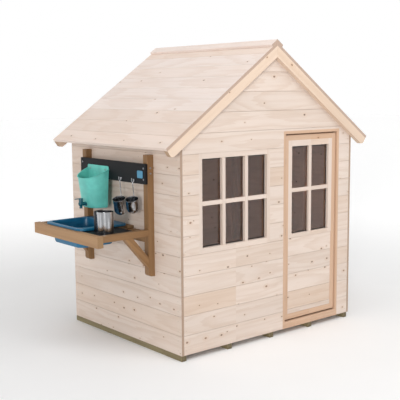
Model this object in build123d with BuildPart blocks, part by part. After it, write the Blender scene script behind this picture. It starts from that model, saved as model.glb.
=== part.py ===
from build123d import *
import os
from math import cos, radians, sin, tan

os.makedirs("parts", exist_ok=True)

# A child's playhouse of tongued boards on square battens, with a glazed door and window in the
# front gable and a play kitchen hung on the left wall. Millimetres, +Z up, front facing -Y.
# The origin is the bottom centre of the whole object's bounding box.

# ---- House ----
wall_width = 1200.0  # outside, along X
wall_depth = 953.0  # outside, along Y
eave_overhang = 100.0  # roof past each side wall, measured level
verge_thick = 27.0  # roof past each gable wall, the thickness of the verge battens
verge_width = 45.0
verge_round = 20.0
ridge_width = 40.0  # of each strip, down the slope
ridge_thick = 12.0
roof_pitch = 35.0  # degrees
board = 14.0  # thickness of every board
cover = 95.5  # height that one board covers
board_gap = 0.5  # shadow gap at the bottom of each groove
groove = 1.2  # chamfer on the two show edges of a board
batten = 27.0  # side of the square battens
wall_courses = 11  # boards up to the eaves
gable_courses = 5  # boards above them, in the gables
roof_courses = 9
bearer_count = 5
bearer_pitch = 290.0
saw_cut = 0.1  # hairline between two pieces that are cut to meet

# ---- Doorway and door ----
door_left = 691.0  # from the left wall's outer face
door_width = 396.0
sill_height = 35.0
door_top = 1051.0  # above the ground
jamb = 15.0  # thickness of the lining round the doorway
leaf_gap = (3.5, 4.0, 8.0)  # hinge side, lock side, top and bottom
leaf_recess = 10.0  # the door's face behind the wall's face
rail = 27.0  # width and thickness of the leaf's rails and stiles
door_pane = ((748.0, 1029.5), (526.0, 985.0))  # glass seen in the door, across and up
hinge_heights = (190.0, 544.0, 911.0)

# ---- Window ----
window_left = 112.0  # opening in the boards, from the left wall's outer face
window_width = 466.0
window_courses = (5, 10)  # the opening runs from the top of one course to the top of another
window_strip = 20.0  # face width of the upright frame strips
window_pane = (531.0, 957.0)  # glass height limits
bar = 20.0  # face width of a glazing bar
bar_depth = 17.0
bar_recess = 3.0
sheet = 3.0  # thickness of the clear sheet
bead = 8.0  # side of the beads that hold it

# ---- Play kitchen ----
kitchen_start = 205.0  # front post's front side, behind the front wall's face
kitchen_width = 580.0
kitchen_reach = 324.0  # front rail's face, out from the wall
post = 35.0  # side of the square posts
post_z = (383.0, 973.0)
shelf_top = 612.0
front_rail = (32.0, 54.0)  # thickness and height
front_rail_end = 15.0  # rail past the back post
side_rail = 30.0  # side of the square side rails
back_rail_z = (549.0, 597.0)
cross_rail = (376.5, 396.5)  # limits behind the front wall's face
work_board_z = (597.0, 609.0)
work_board_back = 89.0  # its back edge, out from the wall
cleat = 20.0
brace_foot = 425.0
brace_run = 137.0  # level distance that each brace covers
brace_width = 35.0
back_board = 12.0  # thickness
back_board_z = (833.0, 931.0)
badge = (44.0, 36.0, 2.0)
screw = 2.0  # radius of the holes
screw_head = (4.5, 1.6)  # radius and height
screw_length = 34.0
moving_gap = 0.3  # between pieces that move past each other, and under each loose one
fit_gap = 0.05  # round each pin and shank in its hole

# ---- Water tank and tap ----
tank_middle = 617.0  # behind the front wall's face
tank_wall = 3.0
tank_foot = (78.0, 80.0)  # depth from the back board, and half the width
tank_mouth = (106.0, 97.0)
tank_squareness = 2.7  # 2 is an oval section, and more is squarer
tank_z = (687.0, 883.0)
tank_rim_front = 839.0
tank_plate_top = 900.0
tank_screw = (68.0, 881.0)  # either side of the middle, and height
tap_z = 709.0
tap_out = (77.0, 109.0)  # tank's wall and valve's axis, out from the back board
tap_stub = 8.0
valve = 11.0
lever_reach = 32.0

# ---- Utensils, basin, beaker and jug ----
hook_z = 848.0
hook_reach = 15.0
hook_rod = 2.0
ladle_ring = (4.5, 7.5)
ladle_bowl = 32.0
ladle_skin = 1.2
ladle_tilt = 20.0  # degrees, of the bowl's axis from upright
ladle_turn = 35.0  # degrees, that each ladle is turned on its hook
ladle_out = 25.0  # middle of the bowl's mouth, out from the back board's face
ladle_mouths = (758.0, 749.0)  # heights, right ladle first
ladle_collars = (44.0, 56.0)  # straight part of each bowl below its mouth
ladle_strip = (5.0, 2.0)  # width and thickness of a handle
ladle_lap = 12.0  # length of handle fixed to the bowl
basin_wall = 3.0
basin_rim = 11.0  # height of its thick rim, above the rails
basin_x = (306.0, 25.0)  # flange limits, out from the wall
basin_y = (384.5, 728.0)  # flange limits, behind the front wall's face
basin_bowl_x = (289.0, 62.0)
basin_bowl_y = (425.0, 712.0)
basin_low = 519.0
basin_taper = (12.0, 12.0)
basin_corner = 36.0
beaker_radius = 40.0
beaker_height = 104.0
beaker_wall = 1.0
beaker_place = (222.0, 293.5)  # out from the wall, and behind the front wall's face
jug_radius = 23.0
jug_wall = 2.0
jug_height = 100.0  # on its axis
jug_slope = 8.0  # degrees, of its slanted mouth
jug_rise = (0.77, -0.64)  # the way its mouth rises, seen from above
jug_place = (216.0, 359.5)

house_x = (kitchen_reach - eave_overhang) / 2
left = house_x - wall_width / 2
right = house_x + wall_width / 2
front = -wall_depth / 2
back = wall_depth / 2
wall_base = batten
floor_top = wall_base + board
inner_left = left + board
inner_right = right - board
inner_front = front + board
inner_back = back - board

# The roof boards' top faces meet at the apex. A point of a slope is given by its distance down
# the slope from there and its depth below the boards' top face.
slope_cos = cos(radians(roof_pitch))
slope_sin = sin(radians(roof_pitch))
slope_tan = tan(radians(roof_pitch))
apex = 1508.4
slope_length = (wall_width / 2 + eave_overhang) / slope_cos
ceiling = apex - board / slope_cos


def slope_point(down, depth):
    """A point of the right-hand slope, in the XZ plane."""
    across = down * slope_cos - depth * slope_sin
    return (house_x + across, apex - down * slope_sin - depth * slope_cos)


def mitre_point(depth):
    """The right-hand slope's upper end at this depth, a saw cut from the middle plane."""
    return (house_x + saw_cut, apex - depth / slope_cos - saw_cut * slope_tan)


def outline(plane, *points):
    """A flat face with these corners, on this plane."""
    with BuildSketch(plane) as drawn:
        Polygon(*points)
    return drawn.sketch


def section_at(y):
    """The XZ plane at this depth of the house. Extrusions from it run forwards, to -Y."""
    return Plane.XZ.offset(-y)


def on_both_slopes(corners, low_y, length):
    """A section of the right-hand slope, repeated in mirror image on the left-hand one."""
    for side in (-1, 1):
        placed = [(house_x + side * (x - house_x), z) for x, z in corners]
        extrude(outline(section_at(low_y + length), *placed), amount=length)


def block(x, y, z):
    """A square-cut piece between low and high limits on each axis."""
    corners = [(x[0], y[0]), (x[1], y[0]), (x[1], y[1]), (x[0], y[1])]
    extrude(outline(Plane.XY.offset(z[0]), *corners), amount=z[1] - z[0])


def board_corners(face, inner, low, high):
    """A board's section: its face at one depth, with both face edges chamfered."""
    step = groove if inner > face else -groove
    return [
        (inner, low),
        (face + step, low),
        (face, low + groove),
        (face, high - groove),
        (face + step, high),
        (inner, high),
    ]


def course(number):
    """Low and high edge of one course of wall boards."""
    low = wall_base + number * cover
    return low, low + cover - board_gap


def cross_boards(face, inner, courses):
    """Courses of a front or back wall, between the side walls."""
    start = Plane.YZ.offset(inner_left)
    for number in courses:
        extrude(outline(start, *board_corners(face, inner, *course(number))), amount=inner_right - inner_left)


def trim_to_roof():
    """Cut the boards of a wall to the underside of the roof boards."""
    eaves = ceiling - wall_width / 2 * slope_tan
    shape = [(left, wall_base), (right, wall_base), (right, eaves), (house_x, ceiling), (left, eaves)]
    extrude(outline(section_at(back), *shape), amount=wall_depth, mode=Mode.INTERSECT)


def cut_opening(x, z, inner_y=inner_front + 1):
    """A square-cornered hole through the front wall, as far back as inner_y."""
    corners = [(x[0], z[0]), (x[1], z[0]), (x[1], z[1]), (x[0], z[1])]
    extrude(outline(section_at(inner_y), *corners), amount=inner_y - front + 1, mode=Mode.SUBTRACT)


def frame_strips(x, z, width, heights, y):
    """Four strips round a rectangle: uprights full height, the others between them."""
    block((x[0], x[0] + width), y, z)
    block((x[1] - width, x[1]), y, z)
    between = (x[0] + width + saw_cut, x[1] - width - saw_cut)
    block(between, y, (z[0], z[0] + heights[0]))
    block(between, y, (z[1] - heights[1], z[1]))


def glazing_bars(x, z, columns, y):
    """Upright bars the whole height, and one level bar halfway up, cut between them."""
    pitch = (x[1] - x[0] + bar) / columns
    middle = (z[0] + z[1]) / 2
    for column in range(columns):
        start = x[0] + column * pitch
        span = (start + saw_cut, start + pitch - bar - saw_cut)
        block(span, y, (middle - bar / 2, middle + bar / 2))
        if column > 0:
            block((start - bar, start), y, z)


doorway_x = (left + door_left, left + door_left + door_width)
lining_x = (doorway_x[0] - jamb, doorway_x[1] + jamb)
lining_y = (front, inner_front + batten)
lining_top = door_top + jamb

# ---- Floor ----
with BuildPart() as floor_bearers:
    for number in range(bearer_count):
        low_x = left + number * bearer_pitch
        block((low_x, low_x + batten), (front, back), (0, batten))

with BuildPart() as floor_boards:
    floor_start = inner_front
    while floor_start < inner_back:
        floor_end = min(floor_start + cover, inner_back)
        section = board_corners(floor_top, wall_base, floor_start, floor_end - board_gap)
        corners = [(y, z) for z, y in section]
        extrude(outline(Plane.YZ.offset(inner_left), *corners), amount=inner_right - inner_left)
        floor_start += cover
    cut_opening(lining_x, (wall_base - 1, floor_top + 1), lining_y[1])

# ---- Walls ----
window_x = (left + window_left, left + window_left + window_width)
window_z = tuple(wall_base + number * cover for number in window_courses)

with BuildPart() as front_wall_boards:
    cross_boards(front, inner_front, range(wall_courses - 1))
    cut_opening(lining_x, (wall_base - 1, lining_top))
    cut_opening(window_x, window_z)

# The board over the door is notched round the doorway's lining.
with BuildPart() as front_lintel_board:
    cross_boards(front, inner_front, [wall_courses - 1])
    cut_opening(lining_x, (wall_base - 1, lining_top))
    trim_to_roof()

with BuildPart() as front_gable_boards:
    cross_boards(front, inner_front, range(wall_courses, wall_courses + gable_courses))
    trim_to_roof()

with BuildPart() as back_wall_boards:
    cross_boards(back, inner_back, range(wall_courses))
    trim_to_roof()

with BuildPart() as back_gable_boards:
    cross_boards(back, inner_back, range(wall_courses, wall_courses + gable_courses))
    trim_to_roof()

with BuildPart() as left_wall_boards:
    for number in range(wall_courses):
        corners = board_corners(left, inner_left, *course(number))
        extrude(outline(section_at(back), *corners), amount=wall_depth)
    trim_to_roof()

with BuildPart() as right_wall_boards:
    for number in range(wall_courses):
        corners = board_corners(right, inner_right, *course(number))
        extrude(outline(section_at(back), *corners), amount=wall_depth)
    trim_to_roof()

# ---- Wall framing, on the inner faces ----
# The plates lie under the roof boards at the eaves, and the upright battens end below them.
plate_top = ceiling - (wall_width / 2 - board) * slope_tan
plate_low = plate_top - batten

with BuildPart() as wall_plates:
    for side in (-1, 1):
        outer = house_x + side * (wall_width / 2 - board)
        inner = outer - side * batten
        corners = [
            (outer, plate_low),
            (inner, plate_low),
            (inner, plate_top + batten * slope_tan),
            (outer, plate_top),
        ]
        extrude(outline(section_at(inner_back), *corners), amount=inner_back - inner_front)

with BuildPart() as corner_battens:
    for x in ((inner_left, inner_left + batten), (inner_right - batten, inner_right)):
        for y in ((inner_front, inner_front + batten), (inner_back - batten, inner_back)):
            block(x, y, (floor_top, plate_low))

with BuildPart() as wall_battens:
    for x in ((inner_left, inner_left + batten), (inner_right - batten, inner_right)):
        for middle in (-150.0, 150.0):
            block(x, (middle - batten / 2, middle + batten / 2), (floor_top, plate_low))
    for middle in (house_x - 200.0, house_x + 200.0):
        x = (middle - batten / 2, middle + batten / 2)
        block(x, (inner_back - batten, inner_back), (floor_top, plate_low))

# Rafters run up both slopes: one pair at each gable and one halfway.
rafter_reach = wall_width / 2 - board - batten
rafter_foot = ceiling - rafter_reach * slope_tan
rafter_corners = [
    mitre_point(board),
    (house_x + rafter_reach, rafter_foot),
    (house_x + rafter_reach, rafter_foot - batten / slope_cos),
    mitre_point(board + batten),
]
with BuildPart() as rafters:
    for low_y in (inner_front, -batten / 2, inner_back - batten):
        on_both_slopes(rafter_corners, low_y, batten)

# ---- Roof ----
roof_back = back + verge_thick
roof_depth = wall_depth + 2 * verge_thick

with BuildPart() as roof_boards_right:
    for number in range(roof_courses):
        start = number * cover
        end = min(start + cover - board_gap, slope_length)
        corners = [
            slope_point(start, board),
            slope_point(start, groove),
            slope_point(start + groove, 0),
            slope_point(end - groove, 0),
            slope_point(end, groove),
            slope_point(end, board),
        ]
        if number == 0:
            corners[:3] = [mitre_point(board), mitre_point(0)]
        if number == roof_courses - 1:
            corners[3:5] = [slope_point(end, 0)]
        extrude(outline(section_at(roof_back), *corners), amount=roof_depth)

with BuildPart() as roof_boards_left:
    mirror(roof_boards_right.part, about=Plane.YZ.offset(house_x))

# The two strips that cover the ridge are mitred where they meet.
ridge_corners = [
    mitre_point(0),
    slope_point(ridge_width, 0),
    slope_point(ridge_width, -ridge_thick),
    mitre_point(-ridge_thick),
]
with BuildPart() as ridge_strips:
    on_both_slopes(ridge_corners, front - verge_thick, roof_depth)

# Battens against the gable walls carry the ends of the roof boards. Their feet are rounded.
verge_corners = [
    mitre_point(board),
    slope_point(slope_length, board),
    slope_point(slope_length, board + verge_width),
    mitre_point(board + verge_width),
]


def verge_pair(low_y):
    """Both battens of one gable, with the lower corner of each foot rounded."""
    on_both_slopes(verge_corners, low_y, verge_thick)
    lowest = edges().filter_by(Axis.Y).group_by(Axis.Z)[0]
    fillet(lowest, radius=verge_round)


with BuildPart() as verge_battens_front:
    verge_pair(front - verge_thick)

with BuildPart() as verge_battens_back:
    verge_pair(back)

# ---- Doorway ----
sill_top = wall_base + sill_height

with BuildPart() as door_sill:
    block(doorway_x, lining_y, (wall_base, sill_top))

with BuildPart() as door_jambs:
    block((lining_x[0], doorway_x[0]), lining_y, (wall_base, door_top))
    block((doorway_x[1], lining_x[1]), lining_y, (wall_base, door_top))

with BuildPart() as door_head:
    block(lining_x, lining_y, (door_top, lining_top))

leaf_x = (doorway_x[0] + leaf_gap[0], doorway_x[1] - leaf_gap[1])
leaf_z = (sill_top + leaf_gap[2], door_top - leaf_gap[2])
leaf_y = (front + leaf_recess, front + leaf_recess + rail)

# The stops stand just behind the leaf, inside the lining.
stop = 12.0
stop_y = (leaf_y[1] + moving_gap, lining_y[1])
with BuildPart() as door_stops:
    block((doorway_x[0], doorway_x[0] + stop), stop_y, (sill_top, door_top))
    block((doorway_x[1] - stop, doorway_x[1]), stop_y, (sill_top, door_top))
    head_stop_x = (doorway_x[0] + stop + saw_cut, doorway_x[1] - stop - saw_cut)
    block(head_stop_x, stop_y, (door_top - stop, door_top))

# ---- Door ----
panel_x = (leaf_x[0] + rail, leaf_x[1] - rail)
panel_z = (leaf_z[0] + rail, leaf_z[1] - rail)
pane_x = (left + door_pane[0][0], left + door_pane[0][1])
pane_z = door_pane[1]
panel_face = leaf_y[0] + 2.0
window_foot = course(4)[1] + board_gap

with BuildPart() as door_rails:
    frame_strips(leaf_x, leaf_z, rail, (rail, rail), leaf_y)

# The door's boards line up with the wall's courses.
with BuildPart() as door_boards:
    for number in range(5):
        low, high = course(number)
        if high > panel_z[0]:
            corners = board_corners(panel_face, panel_face + board, max(low, panel_z[0]), high)
            extrude(outline(Plane.YZ.offset(panel_x[0]), *corners), amount=panel_x[1] - panel_x[0])

with BuildPart() as door_window_frame:
    frame_strips(
        panel_x,
        (window_foot, panel_z[1]),
        pane_x[0] - panel_x[0],
        (pane_z[0] - window_foot, panel_z[1] - pane_z[1]),
        leaf_y,
    )

door_bar_y = (leaf_y[0] + bar_recess, leaf_y[0] + bar_recess + 12.0)
door_sheet_y = (door_bar_y[1], door_bar_y[1] + sheet)
with BuildPart() as door_bars:
    glazing_bars(pane_x, pane_z, 2, door_bar_y)

with BuildPart() as door_sheet:
    block(pane_x, door_sheet_y, pane_z)

with BuildPart() as door_beads:
    frame_strips(pane_x, pane_z, bead, (bead, bead), (door_sheet_y[1], leaf_y[1]))

# ---- Door hinges ----
# Each is a small butt hinge with its knuckle in the corner between the jamb and the leaf's face.
hinge_leaf = 1.2
hinge_tall = 32.0
knuckle = 3.2
pin = 1.5
axis_x = leaf_x[0] + 0.1
axis_y = leaf_y[0] - 3.5
hinge_plate = (leaf_y[0], leaf_y[0] + 24.0)
knuckle_third = hinge_tall / 3


def knuckle_at(low, high):
    """One segment of a hinge's knuckle, bored for the pin."""
    with BuildSketch(Plane.XY.offset(low)) as ring:
        with Locations((axis_x, axis_y)):
            Circle(knuckle)
            Circle(pin + fit_gap, mode=Mode.SUBTRACT)
    extrude(ring.sketch, amount=high - low)


with BuildPart() as hinge_fixed_halves:
    for middle in hinge_heights:
        low = middle - hinge_tall / 2
        high = middle + hinge_tall / 2
        plate_x = (doorway_x[0], doorway_x[0] + hinge_leaf)
        block(plate_x, hinge_plate, (low, high))
        for start in (low, high - knuckle_third):
            block(plate_x, (axis_y, hinge_plate[0]), (start, start + knuckle_third))
            knuckle_at(start, start + knuckle_third)

with BuildPart() as hinge_moving_halves:
    for middle in hinge_heights:
        plate_x = (leaf_x[0] - hinge_leaf, leaf_x[0])
        block(plate_x, hinge_plate, (middle - hinge_tall / 2, middle + hinge_tall / 2))
        low = middle - knuckle_third / 2 + moving_gap
        high = middle + knuckle_third / 2 - moving_gap
        block(plate_x, (axis_y + pin + 1, hinge_plate[0]), (low, high))
        knuckle_at(low, high)

with BuildPart() as hinge_pins:
    for middle in hinge_heights:
        with BuildSketch(Plane.XY.offset(middle - hinge_tall / 2)) as rod:
            with Locations((axis_x, axis_y)):
                Circle(pin)
        extrude(rod.sketch, amount=hinge_tall)

# ---- Window ----
with BuildPart() as window_frame:
    heights = (window_pane[0] - window_z[0], window_z[1] - window_pane[1])
    frame_strips(window_x, window_z, window_strip, heights, lining_y)

glass_x = (window_x[0] + window_strip, window_x[1] - window_strip)
window_bar_y = (front + bar_recess, front + bar_recess + bar_depth)
window_sheet_y = (window_bar_y[1], window_bar_y[1] + sheet)
with BuildPart() as window_bars:
    glazing_bars(glass_x, window_pane, 3, window_bar_y)

with BuildPart() as window_sheet:
    block(glass_x, window_sheet_y, window_pane)

with BuildPart() as window_beads:
    beads_y = (window_sheet_y[1], window_sheet_y[1] + bead)
    frame_strips(glass_x, window_pane, bead, (bead, bead), beads_y)

# ---- Play kitchen: timber ----
kitchen_y = (front + kitchen_start, front + kitchen_start + kitchen_width)
post_face = left - post
front_post_y = (kitchen_y[0], kitchen_y[0] + post)
back_post_y = (kitchen_y[1] - post, kitchen_y[1])
rail_x = (left - kitchen_reach, left - kitchen_reach + front_rail[0])
side_rails_y = ((kitchen_y[0], kitchen_y[0] + side_rail), (kitchen_y[1] - side_rail, kitchen_y[1]))
side_rail_z = (shelf_top - side_rail, shelf_top)
cross_rail_y = (front + cross_rail[0], front + cross_rail[1])
work_board_y = (side_rails_y[0][1], cross_rail_y[1])
work_board_x = (rail_x[1], left - work_board_back)

# Two screws through each end of the back board run into the posts. Two more enter the front
# post from its side.
back_board_face = post_face - back_board
back_board_screws_z = (back_board_z[0] + 22.0, back_board_z[1] - 22.0)
side_screw_depth = 14.0
side_points = [(left - post / 2, z) for z in (884.0, 911.0)]


def discs(plane, points, radius, depth, mode=Mode.ADD):
    """Round rods or holes along the plane's normal, or against it where the depth is negative."""
    with BuildSketch(plane) as drawn:
        with Locations(*points):
            Circle(radius)
    extrude(drawn.sketch, amount=depth, mode=mode)


def kitchen_post(y):
    """A post against the wall, its lower front edge rounded, with holes for the back board."""
    block((post_face, left), y, post_z)
    foot_edges = edges().filter_by(Axis.Y).group_by(Axis.Z)[0]
    fillet(foot_edges.sort_by(Axis.X)[0], radius=16.0)
    points = [((y[0] + y[1]) / 2, z) for z in back_board_screws_z]
    discs(Plane.YZ.offset(post_face), points, screw, screw_length - back_board, Mode.SUBTRACT)


with BuildPart() as kitchen_post_front:
    kitchen_post(front_post_y)
    discs(section_at(kitchen_y[0]), side_points, screw, -side_screw_depth, Mode.SUBTRACT)

with BuildPart() as kitchen_post_back:
    kitchen_post(back_post_y)

with BuildPart() as kitchen_front_rail:
    block(rail_x, (kitchen_y[0], kitchen_y[1] + front_rail_end), (shelf_top - front_rail[1], shelf_top))

with BuildPart() as kitchen_side_rails:
    for y in side_rails_y:
        block((rail_x[1], post_face), y, side_rail_z)

# The back rail runs from post to post. A strip on top of it carries the back of the basin.
with BuildPart() as kitchen_back_rail:
    block((post_face, left), (front_post_y[1], back_post_y[0]), back_rail_z)
    strip_z = (back_rail_z[1] + saw_cut, shelf_top)
    block((post_face, left), (cross_rail_y[0], back_post_y[0]), strip_z)

with BuildPart() as kitchen_cross_rail:
    block((rail_x[1], post_face), cross_rail_y, (work_board_z[0] - side_rail, work_board_z[0]))

with BuildPart() as kitchen_braces:
    rise = side_rail_z[0] - brace_foot
    brace_length = (rise**2 + brace_run**2) ** 0.5
    corners = [
        (post_face, brace_foot),
        (post_face, brace_foot + brace_width * brace_length / brace_run),
        (post_face - brace_run + brace_width * brace_length / rise, side_rail_z[0]),
        (post_face - brace_run, side_rail_z[0]),
    ]
    for y in side_rails_y:
        extrude(outline(section_at(y[1]), *corners), amount=side_rail)

with BuildPart() as kitchen_work_board:
    block(work_board_x, work_board_y, work_board_z)

with BuildPart() as kitchen_board_cleats:
    for x in ((rail_x[1], rail_x[1] + cleat), (work_board_x[1] - cleat, work_board_x[1])):
        block(x, (work_board_y[0], cross_rail_y[0]), (work_board_z[0] - cleat, work_board_z[0]))

# ---- Play kitchen: back board, badge and screws ----
tank_y = front + tank_middle
tank_points = [(tank_y + side * tank_screw[0], tank_screw[1]) for side in (-1, 1)]
post_middles = [(y[0] + y[1]) / 2 for y in (front_post_y, back_post_y)]
board_points = [(middle, z) for middle in post_middles for z in back_board_screws_z]
board_face = Plane.YZ.offset(back_board_face)

with BuildPart() as kitchen_back_board:
    block((back_board_face, post_face), kitchen_y, back_board_z)
    fillet(edges().filter_by(Axis.X), radius=4.0)
    discs(board_face, board_points + tank_points, screw, back_board, Mode.SUBTRACT)

badge_y = front + 250.0
badge_z = 879.0
with BuildPart() as kitchen_badge:
    with BuildSketch(board_face) as badge_face:
        with Locations((badge_y, badge_z)):
            RectangleRounded(badge[0], badge[1], 6.0)
    extrude(amount=-badge[2])

# Each head stands on the face that its screw holds, and each shank runs into the holes.
with BuildPart() as kitchen_screws:
    discs(board_face, board_points, screw_head[0], -screw_head[1])
    discs(board_face, board_points, screw - fit_gap, screw_length)
    side_face = section_at(kitchen_y[0])
    discs(side_face, side_points, screw_head[0], screw_head[1])
    discs(side_face, side_points, screw - fit_gap, -side_screw_depth)

tank_plate_face = Plane.YZ.offset(back_board_face - tank_wall)
with BuildPart() as tank_screws:
    discs(tank_plate_face, tank_points, screw_head[0], -screw_head[1])
    discs(tank_plate_face, tank_points, screw - fit_gap, tank_wall + back_board)

# ---- Water tank ----
# A flat-backed bucket that narrows downwards, cut off at a slope, with a taller back plate.
tank_plate_x = back_board_face - tank_wall


def tank_section(z, depth, half_width, back_x):
    """A round-cornered section in front of the back board, closed by a straight back at back_x."""
    points = []
    for turn in range(-90, 91, 10):
        out = abs(cos(radians(turn))) ** (2 / tank_squareness)
        side = abs(sin(radians(turn))) ** (2 / tank_squareness)
        if turn < 0:
            side = -side
        points.append((back_board_face - depth * out, tank_y + half_width * side))
    with BuildSketch(Plane.XY.offset(z)) as drawn:
        with BuildLine():
            Spline(*points)
            Line(points[-1], points[0])
        make_face()
        with Locations((back_x, tank_y)):
            Rectangle(depth, 2 * half_width, align=(Align.MAX, Align.CENTER), mode=Mode.INTERSECT)
    return drawn.sketch.face()


def tank_shell(inset, floor, mode):
    """The tank's outer shape, or its hollow where there is an inset."""
    sizes = ((tank_z[0] + floor, tank_foot), (tank_z[1], tank_mouth))
    back_x = back_board_face - inset
    sections = [tank_section(z, size[0] - inset, size[1] - inset, back_x) for z, size in sizes]
    loft(sections, mode=mode)


with BuildPart() as tank_outside:
    tank_shell(0, 0, Mode.ADD)

with BuildPart() as water_tank:
    tank_shell(0, 0, Mode.ADD)
    tank_shell(tank_wall, 4.0, Mode.SUBTRACT)
    slope = [
        (tank_plate_x, tank_z[1]),
        (back_board_face - tank_mouth[0] - 1, tank_rim_front),
        (back_board_face - tank_mouth[0] - 1, tank_z[1] + 1),
        (tank_plate_x, tank_z[1] + 1),
    ]
    cut_y = tank_y + tank_mouth[1] + 1
    extrude(outline(section_at(cut_y), *slope), amount=2 * tank_mouth[1] + 2, mode=Mode.SUBTRACT)
    plate_y = (tank_y - tank_mouth[1], tank_y + tank_mouth[1])
    block((tank_plate_x, back_board_face), plate_y, (tank_z[1] - 15.0, tank_plate_top))
    plate_corners = edges().filter_by(Axis.X).group_by(Axis.Z)[-1]
    fillet(plate_corners, radius=8.0)
    discs(tank_plate_face, tank_points, screw, tank_wall, Mode.SUBTRACT)
    tap_hole = Plane.YZ.offset(back_board_face - tap_out[0] - 10)
    discs(tap_hole, [(tank_y, tap_z)], tap_stub + fit_gap, 25.0, Mode.SUBTRACT)

# ---- Tap ----
tap_wall_x = back_board_face - tap_out[0]
valve_x = back_board_face - tap_out[1]
valve_z = (700.0, 731.0)
spout_low = 686.0
stub_end = tap_wall_x + 14.0
waterway = 5.0
stem = 3.0
stem_depth = 10.0
tap_axis = [(tank_y, tap_z)]
valve_axis = [(valve_x, tank_y)]

with BuildPart() as tap_body:
    discs(Plane.YZ.offset(tap_wall_x - 5.0), tap_axis, 14.0, 10.0)
    add(tank_outside.part, mode=Mode.SUBTRACT)
    discs(Plane.YZ.offset(valve_x), tap_axis, tap_stub, stub_end - valve_x)
    discs(Plane.XY.offset(valve_z[0]), valve_axis, valve, valve_z[1] - valve_z[0])
    discs(Plane.XY.offset(spout_low), valve_axis, tap_stub, valve_z[0] - spout_low)
    discs(Plane.XY.offset(spout_low), valve_axis, waterway, tap_z - spout_low, Mode.SUBTRACT)
    discs(Plane.YZ.offset(valve_x), tap_axis, waterway, stub_end - valve_x, Mode.SUBTRACT)
    discs(Plane.XY.offset(valve_z[1]), valve_axis, stem + fit_gap, -stem_depth - 1, Mode.SUBTRACT)

with BuildPart() as tap_nut:
    with BuildSketch(Plane.YZ.offset(stub_end - 7.0)) as nut:
        with Locations((tank_y, tap_z)):
            RegularPolygon(14.0, 6)
            Circle(tap_stub + fit_gap, mode=Mode.SUBTRACT)
    extrude(amount=6.0)

lever_z = valve_z[1] + moving_gap
with BuildPart() as tap_lever:
    discs(Plane.XY.offset(lever_z), valve_axis, valve, 7.0)
    discs(Plane.XY.offset(lever_z), valve_axis, stem, -stem_depth)
    with BuildSketch(Plane.XY.offset(lever_z + 2.0)) as arm:
        with Locations((valve_x - lever_reach / 2, tank_y)):
            SlotOverall(lever_reach + 9.0, 9.0)
    extrude(amount=5.0)

# ---- Hooks and ladles ----
hooks_y = (front + 302.0, front + 412.0)
with BuildPart() as kitchen_hooks:
    for y in hooks_y:
        discs(board_face, [(y, hook_z)], 6.0, -2.0)
        discs(board_face, [(y, hook_z)], hook_rod, -hook_reach)
        tip_x = back_board_face - hook_reach + hook_rod
        discs(Plane.XY.offset(hook_z - hook_rod), [(tip_x, y)], hook_rod, 12.0)

ring_x = back_board_face - hook_reach / 2
ring_z = hook_z - ladle_ring[0] + hook_rod + moving_gap
ladle_x = back_board_face - ladle_out
ladle_cos = cos(radians(ladle_tilt))
ladle_sin = sin(radians(ladle_tilt))


def ladle_plane(y, mouth_z):
    """The plane through a ladle's middle, its local Y along the bowl's axis from the mouth."""
    return Plane(origin=(ladle_x, y, mouth_z), x_dir=(ladle_cos, 0, ladle_sin), z_dir=(0, -1, 0))


def ladle_cup(plane, collar):
    """A thin round-bottomed cup whose mouth lies at the plane's origin."""
    inside = ladle_bowl - ladle_skin
    with BuildSketch(plane) as half:
        with BuildLine():
            Line((0, -collar - ladle_bowl), (0, -collar - inside))
            CenterArc((0, -collar), inside, 270, 90)
            Polyline((inside, -collar), (inside, 0), (ladle_bowl, 0), (ladle_bowl, -collar))
            CenterArc((0, -collar), ladle_bowl, 270, 90)
        make_face()
    revolve(half.sketch, axis=Axis(plane.origin, plane.y_dir))


def ladle_handle(plane, y, mouth_z):
    """A flat strip with an eye at the top, lapped on the back of the bowl's rim."""
    with BuildSketch(Plane.YZ.offset(ring_x - ladle_strip[1] / 2)) as eye:
        with Locations((y, ring_z)):
            Circle(ladle_ring[1])
            Circle(ladle_ring[0], mode=Mode.SUBTRACT)
    extrude(eye.sketch, amount=ladle_strip[1])
    lap_x = ladle_x + (ladle_bowl - 0.5) * ladle_cos
    lap_z = mouth_z + (ladle_bowl - 0.5) * ladle_sin
    side = ladle_strip[1] / 2
    foot_x = lap_x + ladle_lap * ladle_sin
    foot_z = lap_z - ladle_lap * ladle_cos
    corners = [
        (ring_x - side, ring_z - ladle_ring[0] - 1),
        (ring_x + side, ring_z - ladle_ring[0] - 1),
        (lap_x + 2 * side + 0.5, lap_z + 1),
        (foot_x + 2 * side, foot_z),
        (foot_x, foot_z),
        (lap_x, lap_z + 1),
    ]
    extrude(outline(section_at(y + ladle_strip[0] / 2), *corners), amount=ladle_strip[0])
    with BuildSketch(plane) as bowl_half:
        Rectangle(ladle_bowl, 2 * ladle_lap + 4, align=(Align.MIN, Align.CENTER))
    revolve(bowl_half.sketch, axis=Axis(plane.origin, plane.y_dir), mode=Mode.SUBTRACT)


def turned(piece, y):
    """A ladle's piece turned about the upright line through its hook's arm."""
    return piece.rotate(Axis((ring_x, y, 0), (0, 0, 1)), ladle_turn)


ladle_left = ladle_plane(hooks_y[1], ladle_mouths[1])
ladle_right = ladle_plane(hooks_y[0], ladle_mouths[0])

with BuildPart() as ladle_left_bowl:
    with BuildPart(mode=Mode.PRIVATE) as square_on:
        ladle_cup(ladle_left, ladle_collars[1])
    add(turned(square_on.part, hooks_y[1]))

with BuildPart() as ladle_left_handle:
    with BuildPart(mode=Mode.PRIVATE) as square_on:
        ladle_handle(ladle_left, hooks_y[1], ladle_mouths[1])
    add(turned(square_on.part, hooks_y[1]))

with BuildPart() as ladle_right_bowl:
    with BuildPart(mode=Mode.PRIVATE) as square_on:
        ladle_cup(ladle_right, ladle_collars[0])
    add(turned(square_on.part, hooks_y[0]))

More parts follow.
